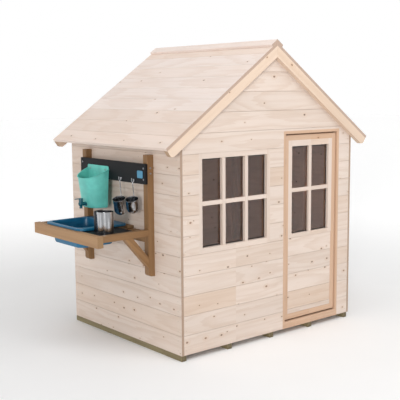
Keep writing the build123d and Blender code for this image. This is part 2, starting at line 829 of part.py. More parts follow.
with BuildPart() as ladle_right_handle:
    with BuildPart(mode=Mode.PRIVATE) as square_on:
        ladle_handle(ladle_right, hooks_y[0], ladle_mouths[0])
    add(turned(square_on.part, hooks_y[0]))

# ---- Basin ----
# A rounded tub that hangs by its thick rim between the front rail and the back rail.
flange_low = shelf_top + moving_gap
flange_x = (left - basin_x[0], left - basin_x[1])
flange_y = (front + basin_y[0], front + basin_y[1])
bowl_x = (left - basin_bowl_x[0], left - basin_bowl_x[1])
bowl_y = (front + basin_bowl_y[0], front + basin_bowl_y[1])


def rounded_face(x, y, z, inset, radius):
    """A rounded rectangle at one height, its four sides brought in by the inset."""
    width = x[1] - x[0] - 2 * inset[0]
    length = y[1] - y[0] - 2 * inset[1]
    with BuildSketch(Plane.XY.offset(z)) as drawn:
        with Locations(((x[0] + x[1]) / 2, (y[0] + y[1]) / 2)):
            RectangleRounded(width, length, radius)
    return drawn.sketch.face()


def tub(top_z, low_z, inset, mode):
    """The basin's tapering bowl: its outer shape, or its hollow where there is an inset."""
    low_inset = (basin_taper[0] + inset, basin_taper[1] + inset)
    top = rounded_face(bowl_x, bowl_y, top_z, (inset, inset), basin_corner - inset)
    bottom = rounded_face(bowl_x, bowl_y, low_z, low_inset, basin_corner - inset)
    loft([bottom, top], mode=mode)


with BuildPart() as basin:
    extrude(rounded_face(flange_x, flange_y, flange_low, (0, 0), basin_corner), amount=basin_rim)
    tub(flange_low, basin_low, 0, Mode.ADD)
    base_edges = faces().sort_by(Axis.Z)[0].edges()
    fillet(base_edges, radius=6.0)
    tub(flange_low + basin_rim, basin_low + basin_wall, basin_wall, Mode.SUBTRACT)

# ---- Beaker and jug ----
rest_z = work_board_z[1] + moving_gap
beaker_x = left - beaker_place[0]
beaker_y = front + beaker_place[1]
rim = 1.2

with BuildPart() as beaker:
    with BuildSketch(section_at(beaker_y)) as half_beaker:
        with Locations((beaker_x, rest_z)):
            Rectangle(beaker_radius, beaker_height - rim, align=Align.MIN)
        with Locations((beaker_x, rest_z + beaker_wall)):
            Rectangle(beaker_radius - beaker_wall, beaker_height, align=Align.MIN, mode=Mode.SUBTRACT)
        with Locations((beaker_x + beaker_radius - beaker_wall / 2, rest_z + beaker_height - rim)):
            Circle(rim)
    revolve(half_beaker.sketch, axis=Axis((beaker_x, beaker_y, 0), (0, 0, 1)))

jug_axis = [(left - jug_place[0], front + jug_place[1])]
jug_mouth = Plane(
    origin=(*jug_axis[0], rest_z + jug_height),
    z_dir=(-sin(radians(jug_slope)) * jug_rise[0], -sin(radians(jug_slope)) * jug_rise[1], cos(radians(jug_slope))),
)
with BuildPart() as jug:
    discs(Plane.XY.offset(rest_z), jug_axis, jug_radius, 2 * jug_height)
    inner_height = 2 * jug_height
    discs(Plane.XY.offset(rest_z + jug_wall), jug_axis, jug_radius - jug_wall, inner_height, Mode.SUBTRACT)
    split(bisect_by=jug_mouth, keep=Keep.BOTTOM)

# ---- Output ----
pieces = {
    "floor_bearers": floor_bearers,
    "floor_boards": floor_boards,
    "front_wall_boards": front_wall_boards,
    "front_lintel_board": front_lintel_board,
    "front_gable_boards": front_gable_boards,
    "back_wall_boards": back_wall_boards,
    "back_gable_boards": back_gable_boards,
    "left_wall_boards": left_wall_boards,
    "right_wall_boards": right_wall_boards,
    "wall_plates": wall_plates,
    "corner_battens": corner_battens,
    "wall_battens": wall_battens,
    "rafters": rafters,
    "roof_boards_left": roof_boards_left,
    "roof_boards_right": roof_boards_right,
    "ridge_strips": ridge_strips,
    "verge_battens_front": verge_battens_front,
    "verge_battens_back": verge_battens_back,
    "door_sill": door_sill,
    "door_jambs": door_jambs,
    "door_head": door_head,
    "door_stops": door_stops,
    "door_rails": door_rails,
    "door_boards": door_boards,
    "door_window_frame": door_window_frame,
    "door_bars": door_bars,
    "door_sheet": door_sheet,
    "door_beads": door_beads,
    "hinge_fixed_halves": hinge_fixed_halves,
    "hinge_moving_halves": hinge_moving_halves,
    "hinge_pins": hinge_pins,
    "window_frame": window_frame,
    "window_bars": window_bars,
    "window_sheet": window_sheet,
    "window_beads": window_beads,
    "kitchen_post_front": kitchen_post_front,
    "kitchen_post_back": kitchen_post_back,
    "kitchen_front_rail": kitchen_front_rail,
    "kitchen_side_rails": kitchen_side_rails,
    "kitchen_back_rail": kitchen_back_rail,
    "kitchen_cross_rail": kitchen_cross_rail,
    "kitchen_braces": kitchen_braces,
    "kitchen_work_board": kitchen_work_board,
    "kitchen_board_cleats": kitchen_board_cleats,
    "kitchen_back_board": kitchen_back_board,
    "kitchen_badge": kitchen_badge,
    "kitchen_screws": kitchen_screws,
    "tank_screws": tank_screws,
    "kitchen_hooks": kitchen_hooks,
    "water_tank": water_tank,
    "tap_body": tap_body,
    "tap_nut": tap_nut,
    "tap_lever": tap_lever,
    "ladle_left_bowl": ladle_left_bowl,
    "ladle_left_handle": ladle_left_handle,
    "ladle_right_bowl": ladle_right_bowl,
    "ladle_right_handle": ladle_right_handle,
    "basin": basin,
    "beaker": beaker,
    "jug": jug,
}
for name, piece in pieces.items():
    piece.part.label = name
    export_step(piece.part, f"parts/{name}.step")
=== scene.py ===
import math

import bmesh
import bpy
from mathutils import Matrix, Vector


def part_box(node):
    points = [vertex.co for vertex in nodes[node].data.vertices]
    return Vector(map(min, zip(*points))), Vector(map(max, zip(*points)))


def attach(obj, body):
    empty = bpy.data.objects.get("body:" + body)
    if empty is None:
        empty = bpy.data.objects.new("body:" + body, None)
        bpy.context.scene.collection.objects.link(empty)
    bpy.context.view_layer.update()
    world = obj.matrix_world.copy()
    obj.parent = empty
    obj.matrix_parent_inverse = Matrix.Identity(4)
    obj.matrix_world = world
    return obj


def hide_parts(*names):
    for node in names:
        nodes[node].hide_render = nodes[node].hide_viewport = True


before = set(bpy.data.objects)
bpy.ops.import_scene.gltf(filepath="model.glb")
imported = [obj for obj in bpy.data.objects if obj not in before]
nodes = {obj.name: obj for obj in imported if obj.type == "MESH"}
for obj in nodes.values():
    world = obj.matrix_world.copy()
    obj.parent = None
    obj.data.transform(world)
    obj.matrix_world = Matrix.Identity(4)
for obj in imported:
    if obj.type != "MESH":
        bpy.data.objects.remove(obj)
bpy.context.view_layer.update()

# The playhouse's leading sizes, in metres
MM = 0.001
HOUSE_X = 0.112  # middle of the house
COURSE = 0.0955  # height that one wall board covers
WALL_BASE = 0.027
FLOOR_START = -0.4625  # front edge of the first floor board
PITCH = math.radians(35.0)
APEX = 1.5084
BREAK_TOP = 0.982  # top of the window's opening
DOOR_MIDDLE = 0.40075
DOOR_BREAK = 0.4  # boards left and right of it differ
X, Y, Z = (1.0, 0.0, 0.0), (0.0, 1.0, 0.0), (0.0, 0.0, 1.0)
DOWN_SLOPE = (math.cos(PITCH), 0.0, -math.sin(PITCH))
OFF_SLOPE = (math.sin(PITCH), 0.0, math.cos(PITCH))
ALONG_BRACE = (0.7071, 0.0, -0.7071)
ACROSS_BRACE = (0.7071, 0.0, 0.7071)


# ---- Node trees ----
class Shader:
    """One material's node tree. An input is a number, a tuple or another node's socket."""

    def __init__(self, name):
        self.material = bpy.data.materials.new(name)
        self.material.use_nodes = True
        self.nodes = self.material.node_tree.nodes
        self.links = self.material.node_tree.links
        self.nodes.clear()
        self.place = self.add("ShaderNodeTexCoord", output="Object")
        self.facing = self.place.node.outputs["Normal"]

    def feed(self, socket, value):
        if isinstance(value, bpy.types.NodeSocket):
            self.links.new(value, socket)
        elif isinstance(value, (tuple, list)) and len(socket.default_value) == 4:
            socket.default_value = (*value[:3], 1.0)
        else:
            socket.default_value = value

    def add(self, kind, inputs=None, output=0, **settings):
        node = self.nodes.new(kind)
        for key, value in settings.items():
            setattr(node, key, value)
        for key, value in (inputs or {}).items():
            self.feed(node.inputs[key], value)
        return node.outputs[output]

    def math(self, operation, *values):
        return self.add("ShaderNodeMath", dict(enumerate(values)), operation=operation)

    def vector(self, x, y, z):
        return self.add("ShaderNodeCombineXYZ", {0: x, 1: y, 2: z})

    def scaled(self, values, scales):
        """A vector of three numbers, each times its own scale."""
        return self.vector(*[self.math("MULTIPLY", *pair) for pair in zip(values, scales)])

    def mapped(self, **inputs):
        """The place, stretched or turned."""
        return self.add("ShaderNodeMapping", {"Vector": self.place, **inputs})

    def split(self, value):
        node = self.add("ShaderNodeSeparateXYZ", {0: value}).node
        return node.outputs[0], node.outputs[1], node.outputs[2]

    def dot(self, value, direction):
        inputs = {0: value, 1: direction}
        return self.add("ShaderNodeVectorMath", inputs, "Value", operation="DOT_PRODUCT")

    def noise(self, place, scale, detail=2.0, roughness=0.5):
        inputs = {"Vector": place, "Scale": scale, "Detail": detail, "Roughness": roughness}
        return self.add("ShaderNodeTexNoise", inputs)

    def white(self, place):
        return self.split(self.add("ShaderNodeTexWhiteNoise", {"Vector": place}, "Color"))

    def span(self, value, low, high):
        """0 below low, 1 above high, and smooth between them."""
        inputs = {"Value": value, "From Min": low, "From Max": high}
        return self.add("ShaderNodeMapRange", inputs, interpolation_type="SMOOTHSTEP")

    def blend(self, factor, a, b):
        """Numbers a to b."""
        return self.add("ShaderNodeMix", {0: factor, 2: a, 3: b}, data_type="FLOAT")

    def mix(self, factor, a, b, mode="MIX"):
        """Colours a to b."""
        inputs = {0: factor, 6: a, 7: b}
        return self.add("ShaderNodeMix", inputs, 2, data_type="RGBA", blend_type=mode)

    def bump(self, height, strength, distance):
        inputs = {"Height": height, "Strength": strength, "Distance": distance}
        return self.add("ShaderNodeBump", inputs)

    def finish(self, **inputs):
        named = {key.replace("_", " "): value for key, value in inputs.items()}
        surface = self.add("ShaderNodeBsdfPrincipled", named)
        output = self.nodes.new("ShaderNodeOutputMaterial")
        self.links.new(surface, output.inputs["Surface"])
        return self.material


def srgb(red, green, blue):
    """A colour given as 0 to 255 values on screen."""
    out = []
    for value in (red, green, blue):
        share = value / 255
        out.append(share / 12.92 if share <= 0.04045 else ((share + 0.055) / 1.055) ** 2.4)
    return tuple(out)


def darker(colour, share):
    return tuple(c * share for c in colour)


def timber(pale, late, tan, end):
    """A wood's colours: its pale wood, late growth, warm boards and end grain."""
    return {"pale": srgb(*pale), "late": srgb(*late), "tan": srgb(*tan), "end": srgb(*end)}


# ---- Wood ----
PINE = timber((218, 202, 190), (194, 166, 144), (204, 172, 142), (166, 138, 116))
# Painted light: a lighter copy of PINE for the roof and ridge, which face the light from above
LIT_ROOF_PINE = timber((232, 218, 210), (210, 184, 166), (220, 190, 164), (178, 150, 130))
DOOR_PINE = timber((206, 174, 148), (182, 138, 104), (190, 146, 108), (158, 118, 84))
VERGE_PINE = timber((222, 200, 180), (198, 164, 134), (210, 172, 136), (176, 144, 114))
TREATED = timber((144, 108, 70), (98, 66, 36), (122, 90, 52), (112, 88, 58))
RAIL = timber((172, 136, 98), (132, 92, 58), (152, 112, 72), (150, 118, 82))
BEARER = timber((136, 124, 92), (100, 84, 56), (122, 108, 70), (104, 92, 66))
BROWN_KNOT, BLACK_KNOT = srgb(126, 88, 62), srgb(66, 46, 38)

RING_RATE = 300.0  # growth rings per metre
SWAY = 0.05  # how far the rings wander along a board
PITH_ASIDE = 0.08  # how far the pith strays to either side
PITH_DEEP = (0.022, 0.05)  # its least depth behind the face, and the spread above that
KNOT_CELLS = (9.0, 14.0)  # cells per metre along and across the grain, some with a knot
KNOT_SIZE = (0.028, 0.045)  # least size of a knot and the spread above that, in cells
# Painted shade, with some wear: boards darken a little towards the grooves at their edges
SHADED_EDGE = 0.0045  # how far in from its edges a board is a little darker
PIECE_RATE = 3.7  # pieces this many to a metre each have their own tone
BOARD_SHIFT = 9.0  # the most that one board's figure is moved along from the next


def wood(name, colours, along, across, through, pitch=None, start=0.0, mirrored=False, upright=None,
         breaks=(), seed=0.0, knots=0.4, streaks=1.0, variety=1.0):
    """Softwood with growth rings, streaks and knots that follow each board.

    along, across and through are the board's directions. Boards repeat across it at the pitch from
    start. A mirrored wood lies on both slopes of the roof. upright=(middle, offset, half) turns the
    grain upright where x is within half of middle - offset or middle + offset. Below BREAK_TOP a
    board is cut at each x in breaks.
    """
    s = Shader(name)
    x, y, z = s.split(s.place)
    normal_x, normal_y, normal_z = s.split(s.facing)
    side = 0.0
    place, facing = s.place, s.facing
    for break_x in breaks:
        past = s.math("MULTIPLY", s.math("GREATER_THAN", x, break_x), s.math("LESS_THAN", z, BREAK_TOP))
        side = s.math("ADD", side, past)
    if mirrored:
        side = s.math("SIGN", s.math("SUBTRACT", x, HOUSE_X))
        place = s.vector(s.math("ABSOLUTE", s.math("SUBTRACT", x, HOUSE_X)), y, z)
        facing = s.vector(s.math("MULTIPLY", normal_x, side), normal_y, normal_z)
    u = s.dot(place, along)
    v = s.dot(place, across)
    w = s.dot(place, through)
    end = s.math("ABSOLUTE", s.dot(facing, along))
    turned = 0.0
    if upright:
        middle, offset, half = upright
        away = s.math("ABSOLUTE", s.math("SUBTRACT", x, middle))
        off = s.math("ABSOLUTE", s.math("SUBTRACT", away, offset))
        turned = s.math("LESS_THAN", off, half)
        u = s.blend(turned, u, z)
        v = s.blend(turned, v, x)
        end = s.blend(turned, end, s.math("ABSOLUTE", normal_z))
        side = s.math("SIGN", s.math("SUBTRACT", x, middle))
    edge = None
    if pitch:
        step = s.math("DIVIDE", s.math("SUBTRACT", v, start), pitch)
        number = s.math("FLOOR", step)
        share = s.math("SUBTRACT", s.math("SUBTRACT", step, number), 0.5)
        centred = s.math("MULTIPLY", share, pitch)
        edge = s.span(s.math("ABSOLUTE", share), 0.5 - SHADED_EDGE / pitch, 0.5)
    else:
        number = s.math("FLOOR", s.math("MULTIPLY", v, PIECE_RATE))
        centred = v

    # Three even draws from 0 to 1 for each board
    first, second, third = s.white(s.vector(s.math("ADD", number, seed), side, turned))
    u = s.math("MULTIPLY_ADD", first, BOARD_SHIFT, u)

    # Knots: one here and there, drawn out along the grain
    knot_u = s.math("MULTIPLY", u, KNOT_CELLS[0])
    knot_v = s.math("MULTIPLY_ADD", v, KNOT_CELLS[1], s.math("MULTIPLY", second, 5.0))
    knot_inputs = {"Vector": s.vector(knot_u, knot_v, 0.0), "Scale": 1.0}
    cell = s.add("ShaderNodeTexVoronoi", knot_inputs, voronoi_dimensions="2D").node
    size_draw, there_draw, tone_draw = s.split(cell.outputs["Color"])
    there = s.math("LESS_THAN", there_draw, knots)
    size = s.math("MULTIPLY_ADD", size_draw, KNOT_SIZE[1], KNOT_SIZE[0])
    near = s.math("DIVIDE", cell.outputs["Distance"], size)
    core = s.math("MULTIPLY", s.math("SUBTRACT", 1.0, s.span(near, 0.65, 1.05)), there)
    halo = s.math("MULTIPLY", s.math("SUBTRACT", 1.0, s.span(near, 0.9, 3.4)), there)

    # Growth rings round a pith below the face, pushed aside by the knots
    slow = s.noise(s.vector(s.math("MULTIPLY", u, 1.1), second, third), 1.0, 1.0)
    sway = s.math("MULTIPLY_ADD", slow, SWAY, -SWAY / 2)
    pith_v = s.math("MULTIPLY_ADD", second, PITH_ASIDE, -PITH_ASIDE / 2)
    pith_w = s.math("MULTIPLY_ADD", third, PITH_DEEP[1], PITH_DEEP[0])
    ring_v = s.math("ADD", s.math("ADD", centred, pith_v), sway)
    ring_w = s.math("ADD", s.math("ADD", w, pith_w), s.math("MULTIPLY", sway, 0.5))
    squares = s.math("ADD", s.math("MULTIPLY", ring_v, ring_v), s.math("MULTIPLY", ring_w, ring_w))
    wobble = s.noise(s.scaled((u, v, w), (5.0, 70.0, 70.0)), 1.0, 2.0)
    phase = s.math("MULTIPLY_ADD", s.math("SQRT", squares), RING_RATE, s.math("MULTIPLY", wobble, 0.9))
    ring = s.math("FRACT", s.math("MULTIPLY_ADD", halo, 1.3, phase))
    late = s.math("MULTIPLY", s.span(ring, 0.3, 0.92), s.math("SUBTRACT", 1.0, s.span(ring, 0.93, 1.0)))

    # Broad streaks, fibres and slow patches
    streak = s.span(s.noise(s.scaled((u, v, w), (1.6, 38.0, 38.0)), 1.0, 3.0, 0.6), 0.42, 0.72)
    fibre = s.noise(s.scaled((u, v, w), (22.0, 900.0, 900.0)), 1.0, 1.0)
    patch = s.noise(s.vector(s.math("MULTIPLY", u, 2.2), s.math("MULTIPLY", v, 9.0), third), 1.0, 2.0)

    colour = s.mix(s.math("MULTIPLY", late, 0.26 * streaks), colours["pale"], colours["late"])
    colour = s.mix(s.math("MULTIPLY", streak, 0.24 * streaks), colour, colours["late"])
    warm = s.math("MULTIPLY", s.span(third, 0.8, 1.0), 0.32 * variety)
    colour = s.mix(warm, colour, colours["tan"])
    shade = s.math("MULTIPLY_ADD", first, 0.07 * variety, 1.0 - 0.035 * variety)
    shade = s.math("MULTIPLY", shade, s.math("MULTIPLY_ADD", patch, 0.12, 0.94))
    shade = s.math("MULTIPLY", shade, s.math("MULTIPLY_ADD", fibre, 0.10, 0.95))
    # Painted shade, with some wear, darkens each board towards the grooves at its edges
    if edge:
        shade = s.math("MULTIPLY", shade, s.math("MULTIPLY_ADD", edge, -0.06, 1.0))
    colour = s.mix(1.0, colour, s.vector(shade, shade, shade), "MULTIPLY")
    colour = s.mix(s.math("MULTIPLY", halo, 0.30), colour, colours["tan"])
    knot_tone = s.mix(tone_draw, BROWN_KNOT, BLACK_KNOT)
    colour = s.mix(s.math("MULTIPLY", core, 0.82), colour, knot_tone)
    end_share = s.span(end, 0.55, 0.85)
    end_colour = s.mix(late, colours["end"], darker(colours["end"], 0.72))
    colour = s.mix(s.math("MULTIPLY", end_share, 0.85), colour, end_colour)

    height = s.math("MULTIPLY_ADD", fibre, 0.5, s.math("MULTIPLY", late, 0.5))
    height = s.math("SUBTRACT", height, s.math("MULTIPLY", core, 0.8))
    rough = s.math("MULTIPLY_ADD", patch, 0.2, 0.5)
    return s.finish(Base_Color=colour, Roughness=rough, Normal=s.bump(height, 0.35, 0.0005))


def dress(material, *names):
    """Gives CAD nodes a material."""
    for name in names:
        node = nodes[name]
        node.data.materials.clear()
        node.data.materials.append(material)


def soften(width, *names):
    """Rounds the edges of CAD nodes."""
    for name in names:
        weld = nodes[name].modifiers.new("weld", "WELD")
        weld.merge_threshold = 0.00001
        bevel = nodes[name].modifiers.new("edges", "BEVEL")
        bevel.width = width
        bevel.segments = 2
        bevel.limit_method = "ANGLE"
        bevel.angle_limit = math.radians(35)
        bevel.harden_normals = True


# Where the grain stands upright: the middle, the offset to either side of it and half the width
window_middle = sum(v[0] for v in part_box("window_frame")) / 2
DOOR_STILES = (DOOR_MIDDLE, 0.18075, 0.0136)
DOOR_WINDOW_STILES = (DOOR_MIDDLE, 0.154, 0.0135)
DOOR_BAR = (DOOR_MIDDLE, 0.0, 0.0101)
JAMBS = (0.401, 0.2055, 0.0077)
WINDOW_STILES = (window_middle, 0.223, 0.0101)
WINDOW_BARS = (window_middle, 0.07433, 0.0101)

# Walls, roof and floor
front_boards = wood(
    "wood_front", PINE, X, Z, Y, COURSE, WALL_BASE, breaks=(window_middle, DOOR_BREAK), seed=3.0
)
dress(front_boards, "front_wall_boards", "front_lintel_board", "front_gable_boards")
dress(front_boards, "back_wall_boards", "back_gable_boards")
side_boards = wood("wood_side", PINE, Y, Z, X, COURSE, WALL_BASE, seed=11.0)
dress(side_boards, "left_wall_boards", "right_wall_boards")
roof_start = -APEX * math.sin(PITCH)
roof_boards = wood(
    "wood_roof", LIT_ROOF_PINE, Y, DOWN_SLOPE, OFF_SLOPE, COURSE, roof_start,
    mirrored=True, seed=23.0, knots=0.16,
)
dress(roof_boards, "roof_boards_left", "roof_boards_right")
slope_strips = wood(
    "wood_verge", VERGE_PINE, DOWN_SLOPE, OFF_SLOPE, Y, mirrored=True, seed=31.0, knots=0.12
)
dress(slope_strips, "verge_battens_front", "verge_battens_back", "rafters")
ridge = wood("wood_ridge", LIT_ROOF_PINE, Y, DOWN_SLOPE, OFF_SLOPE, mirrored=True, seed=37.0, knots=0.12)
dress(ridge, "ridge_strips")
dress(wood("wood_floor", PINE, X, Y, Z, COURSE, FLOOR_START, seed=41.0), "floor_boards")
dress(wood("wood_bearers", BEARER, Y, Z, X, seed=107.0, knots=0.1, streaks=1.4), "floor_bearers")
dress(wood("wood_studs", PINE, Z, X, Y, seed=109.0, knots=0.1), "corner_battens", "wall_battens")
dress(wood("wood_plates", PINE, Y, X, Z, seed=113.0, knots=0.1), "wall_plates")

# Door and window
door_panel = wood("wood_door_boards", PINE, X, Z, Y, COURSE, WALL_BASE, seed=53.0, variety=1.6)
dress(door_panel, "door_boards")
door_frame = wood("wood_door_rails", DOOR_PINE, X, Z, Y, upright=DOOR_STILES, seed=59.0, knots=0.14)
dress(door_frame, "door_rails")
door_window = wood("wood_door_window", PINE, X, Z, Y, upright=DOOR_WINDOW_STILES, seed=61.0, knots=0.08)
dress(door_window, "door_window_frame", "door_beads")
dress(wood("wood_door_bars", PINE, X, Z, Y, upright=DOOR_BAR, seed=67.0, knots=0.05), "door_bars")
lining = wood("wood_lining", DOOR_PINE, X, Z, Y, upright=JAMBS, seed=71.0, knots=0.1)
dress(lining, "door_sill", "door_jambs", "door_head", "door_stops")
window_wood = wood("wood_window", PINE, X, Z, Y, upright=WINDOW_STILES, seed=73.0, knots=0.08)
dress(window_wood, "window_frame", "window_beads")
dress(wood("wood_window_bars", PINE, X, Z, Y, upright=WINDOW_BARS, seed=79.0, knots=0.05), "window_bars")

# Play kitchen
posts = wood("wood_posts", TREATED, Z, Y, X, seed=83.0, knots=0.12, streaks=1.5)
dress(posts, "kitchen_post_front", "kitchen_post_back")
rails_x = wood("wood_rails_x", TREATED, X, Z, Y, seed=89.0, knots=0.1, streaks=1.4)
dress(rails_x, "kitchen_side_rails", "kitchen_cross_rail")
dress(wood("wood_rails_y", RAIL, Y, Z, X, seed=97.0, knots=0.1, streaks=1.4), "kitchen_front_rail")
back_rail = wood("wood_back_rail", TREATED, Y, Z, X, seed=101.0, knots=0.1, streaks=1.4)
dress(back_rail, "kitchen_back_rail", "kitchen_board_cleats")
braces = wood("wood_braces", TREATED, ALONG_BRACE, ACROSS_BRACE, Y, seed=103.0, knots=0.1, streaks=1.4)
dress(braces, "kitchen_braces")

TIMBER_EDGE, BOARD_EDGE = 0.0012, 0.0008
soften(TIMBER_EDGE, "kitchen_post_front", "kitchen_post_back", "kitchen_back_rail", "kitchen_front_rail")
soften(TIMBER_EDGE, "kitchen_side_rails", "kitchen_cross_rail", "kitchen_braces", "floor_bearers")
soften(TIMBER_EDGE, "verge_battens_front", "verge_battens_back")
soften(BOARD_EDGE, "kitchen_back_board", "kitchen_work_board")


# ---- Mesh helpers, in millimetres ----
class Shape:
    """Corners and faces gathered from several closed forms."""

    def __init__(self):
        self.verts = []
        self.faces = []

    def skin(self, rings, closed=False):
        """Rings of equal length joined in order, capped at both ends or joined round."""
        base, count = len(self.verts), len(rings[0])
        for ring in rings:
            self.verts.extend(tuple(point) for point in ring)
        pairs = list(zip(range(len(rings)), range(1, len(rings))))
        if closed:
            pairs.append((len(rings) - 1, 0))
        for low, high in pairs:
            for i in range(count):
                j = (i + 1) % count
                corners = (low * count + i, low * count + j, high * count + j, high * count + i)
                self.faces.append([base + corner for corner in corners])
        if not closed:
            last = base + (len(rings) - 1) * count
            self.faces.append([base + i for i in reversed(range(count))])
            self.faces.append([last + i for i in range(count)])

    def lathe(self, profile, origin, up=Z, segments=56, shift=None):
        """A turned form: profile is radius and height pairs along up from the origin."""
        up = Vector(up).normalized()
        side = up.orthogonal().normalized()
        other = up.cross(side)
        rings = []
        for radius, height in profile:
            ring = []
            for i in range(segments):
                angle = 2 * math.pi * i / segments
                out = side * math.cos(angle) + other * math.sin(angle)
                point = Vector(origin) + up * height + out * radius
                if shift:
                    point = point + up * shift(out * radius, height)
                ring.append(point)
            rings.append(ring)
        self.skin(rings)

    def sweep(self, path, section, flat):
        """A rod along a path. section gives (across, out) offsets; flat is the across direction."""
        points = [Vector(p) for p in path]
        across = Vector(flat).normalized()
        rings = []
        for i, point in enumerate(points):
            ahead = points[min(i + 1, len(points) - 1)] - points[max(i - 1, 0)]
            out = ahead.normalized().cross(across)
            rings.append([point + across * a + out * b for a, b in section])
        self.skin(rings)


def place_piece(name, shape, material, body, stands_for=(), crease=38):
    """A mesh that rides on a body and stands for CAD nodes."""
    mesh = bpy.data.meshes.new(name)
    mesh.from_pydata([tuple(c * MM for c in corner) for corner in shape.verts], [], shape.faces)
    mesh.validate()
    build = bmesh.new()
    build.from_mesh(mesh)
    bmesh.ops.recalc_face_normals(build, faces=build.faces)
    build.to_mesh(mesh)
    build.free()
    mesh.shade_smooth()
    mesh.set_sharp_from_angle(angle=math.radians(crease))
    mesh.materials.append(material)
    piece = bpy.data.objects.new(name, mesh)
    bpy.context.scene.collection.objects.link(piece)
    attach(piece, body)
    if stands_for:
        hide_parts(*stands_for)


def in_mm(box):
    """A box's low and high corners, from metres to millimetres."""
    return [[c / MM for c in corner] for corner in box]


def circle(radius, count=14):
    turns = [2 * math.pi * i / count for i in range(count)]
    return [(radius * math.cos(t), radius * math.sin(t)) for t in turns]


def rounded_strip(width, thick, count=3):
    """A strip's section with rounded edges."""
    radius = thick / 2 * 0.9
    points = []
    for sx, sy, start in ((1, 1, 0), (-1, 1, 90), (-1, -1, 180), (1, -1, 270)):
        for k in range(count + 1):
            angle = math.radians(start + 90 * k / count)
            x = sx * (width / 2 - radius) + radius * math.cos(angle)
            y = sy * (thick / 2 - radius) + radius * math.sin(angle)
            points.append((x, y))
    return points


def smooth_path(points, steps=6):
    """A Catmull-Rom line through the points."""
    points = [Vector(p) for p in points]
    padded = [points[0], *points, points[-1]]
    out = []
    for i in range(1, len(padded) - 2):
        a, b, c, d = padded[i - 1 : i + 3]
        for k in range(steps):
            t = k / steps
            square = (2 * a - 5 * b + 4 * c - d) * t * t
            cube = (3 * b - a - 3 * c + d) * t**3
            out.append((2 * b + (c - a) * t + square + cube) / 2)
    out.append(points[-1])
    return out


def rounded_rectangle(x, y, z, radius, count=9):
    """A level ring round a rectangle with round corners."""
    ring = []
    for cx, cy, start in ((x[1], y[1], 0), (x[0], y[1], 90), (x[0], y[0], 180), (x[1], y[0], 270)):
        centre_x = cx - radius if start in (0, 270) else cx + radius
        centre_y = cy - radius if start in (0, 90) else cy + radius
        for k in range(count + 1):
            angle = math.radians(start + 90 * k / count)
            ring.append((centre_x + radius * math.cos(angle), centre_y + radius * math.sin(angle), z))
    return ring


# ---- Plastics, metals, paint and clear sheet ----
def plastic(name, colour, rough, worn, coat=0.0):
    """Moulded plastic: faint mottling, handling marks and a fine moulded texture."""
    s = Shader(name)
    cloudy = s.noise(s.place, 14.0, 3.0)
    fine = s.noise(s.place, 900.0, 1.0)
    marks_place = s.mapped(Scale=(60.0, 60.0, 9.0), Rotation=(0.3, 0.2, 0.0))
    marks = s.span(s.noise(marks_place, 3.0, 4.0, 0.7), 0.58, 0.74)
    light = tuple(min(1.0, c * 1.1 + 0.01) for c in colour)
    base = s.mix(s.span(cloudy, 0.3, 0.7), darker(colour, 0.86), light)
    base = s.mix(s.math("MULTIPLY", marks, 0.22), base, worn)
    roughness = s.math("MULTIPLY_ADD", marks, 0.18, rough)
    roughness = s.math("MULTIPLY_ADD", cloudy, 0.08, roughness)
    height = s.math("ADD", fine, s.math("MULTIPLY", marks, 0.5))
    look = {"Base_Color": base, "Roughness": roughness, "Normal": s.bump(height, 0.3, 0.00004)}
    return s.finish(**look, Coat_Weight=coat, Coat_Roughness=0.08)


def steel(name, tone, rough, lines, painted_reflection=0.0):
    """Steel with fine lines, cloudy handling marks and optional darker bands up its sides: painted
    reflections of dark surroundings.
    """
    s = Shader(name)
    line = s.noise(s.mapped(Scale=lines), 1.0, 3.0, 0.6)
    smear = s.noise(s.place, 38.0, 4.0, 0.6)
    base = s.mix(s.span(smear, 0.35, 0.7), darker(tone, 0.82), tone)
    if painted_reflection:
        # Painted reflection: dark streaks up the sides stand for dark surroundings mirrored in the
        # polished steel
        reflection_band = s.span(s.noise(s.mapped(Scale=(95.0, 95.0, 5.0)), 1.0, 2.0), 0.44, 0.6)
        base = s.mix(s.math("MULTIPLY", reflection_band, painted_reflection), base, darker(tone, 0.2))
    roughness = s.math("MULTIPLY_ADD", line, 0.16, rough - 0.08)
    roughness = s.math("MULTIPLY_ADD", s.span(smear, 0.5, 0.75), 0.06, roughness)
    normal = s.bump(line, 0.25, 0.00012)
    return s.finish(Base_Color=base, Metallic=1.0, Roughness=roughness, Normal=normal)


def painted_board(name, brush):
    """Near-black paint, a little scuffed. brush is how fine its strokes are along X, Y and Z."""
    s = Shader(name)
    brushed = s.noise(s.mapped(Scale=brush), 1.0, 3.0)
    patch = s.noise(s.place, 11.0, 3.0)
    scuff = s.span(s.noise(s.place, 95.0, 5.0, 0.75), 0.66, 0.74)
    base = s.mix(s.span(patch, 0.3, 0.7), srgb(8, 8, 11), srgb(16, 16, 20))
    base = s.mix(s.math("MULTIPLY", brushed, 0.25), base, srgb(26, 25, 30))
    base = s.mix(s.math("MULTIPLY", scuff, 0.3), base, srgb(74, 70, 68))
    roughness = s.math("MULTIPLY_ADD", patch, 0.16, 0.42)
    normal = s.bump(brushed, 0.35, 0.0002)
    return s.finish(Base_Color=base, Roughness=roughness, Normal=normal, Specular_IOR_Level=0.22)


def clear_plastic(name):
    """Clear sheet with faint smears and a warm tint."""
    s = Shader(name)
    smear = s.span(s.noise(s.place, 9.0, 4.0, 0.6), 0.45, 0.8)
    tint = s.mix(smear, (0.99, 0.73, 0.62), (0.93, 0.66, 0.55))
    roughness = s.math("MULTIPLY_ADD", smear, 0.05, 0.015)
    normal = s.bump(s.noise(s.place, 5.0, 1.0), 0.04, 0.002)
    look = {"Base_Color": tint, "Roughness": roughness, "Normal": normal}
    return s.finish(**look, Transmission_Weight=1.0, IOR=1.49)


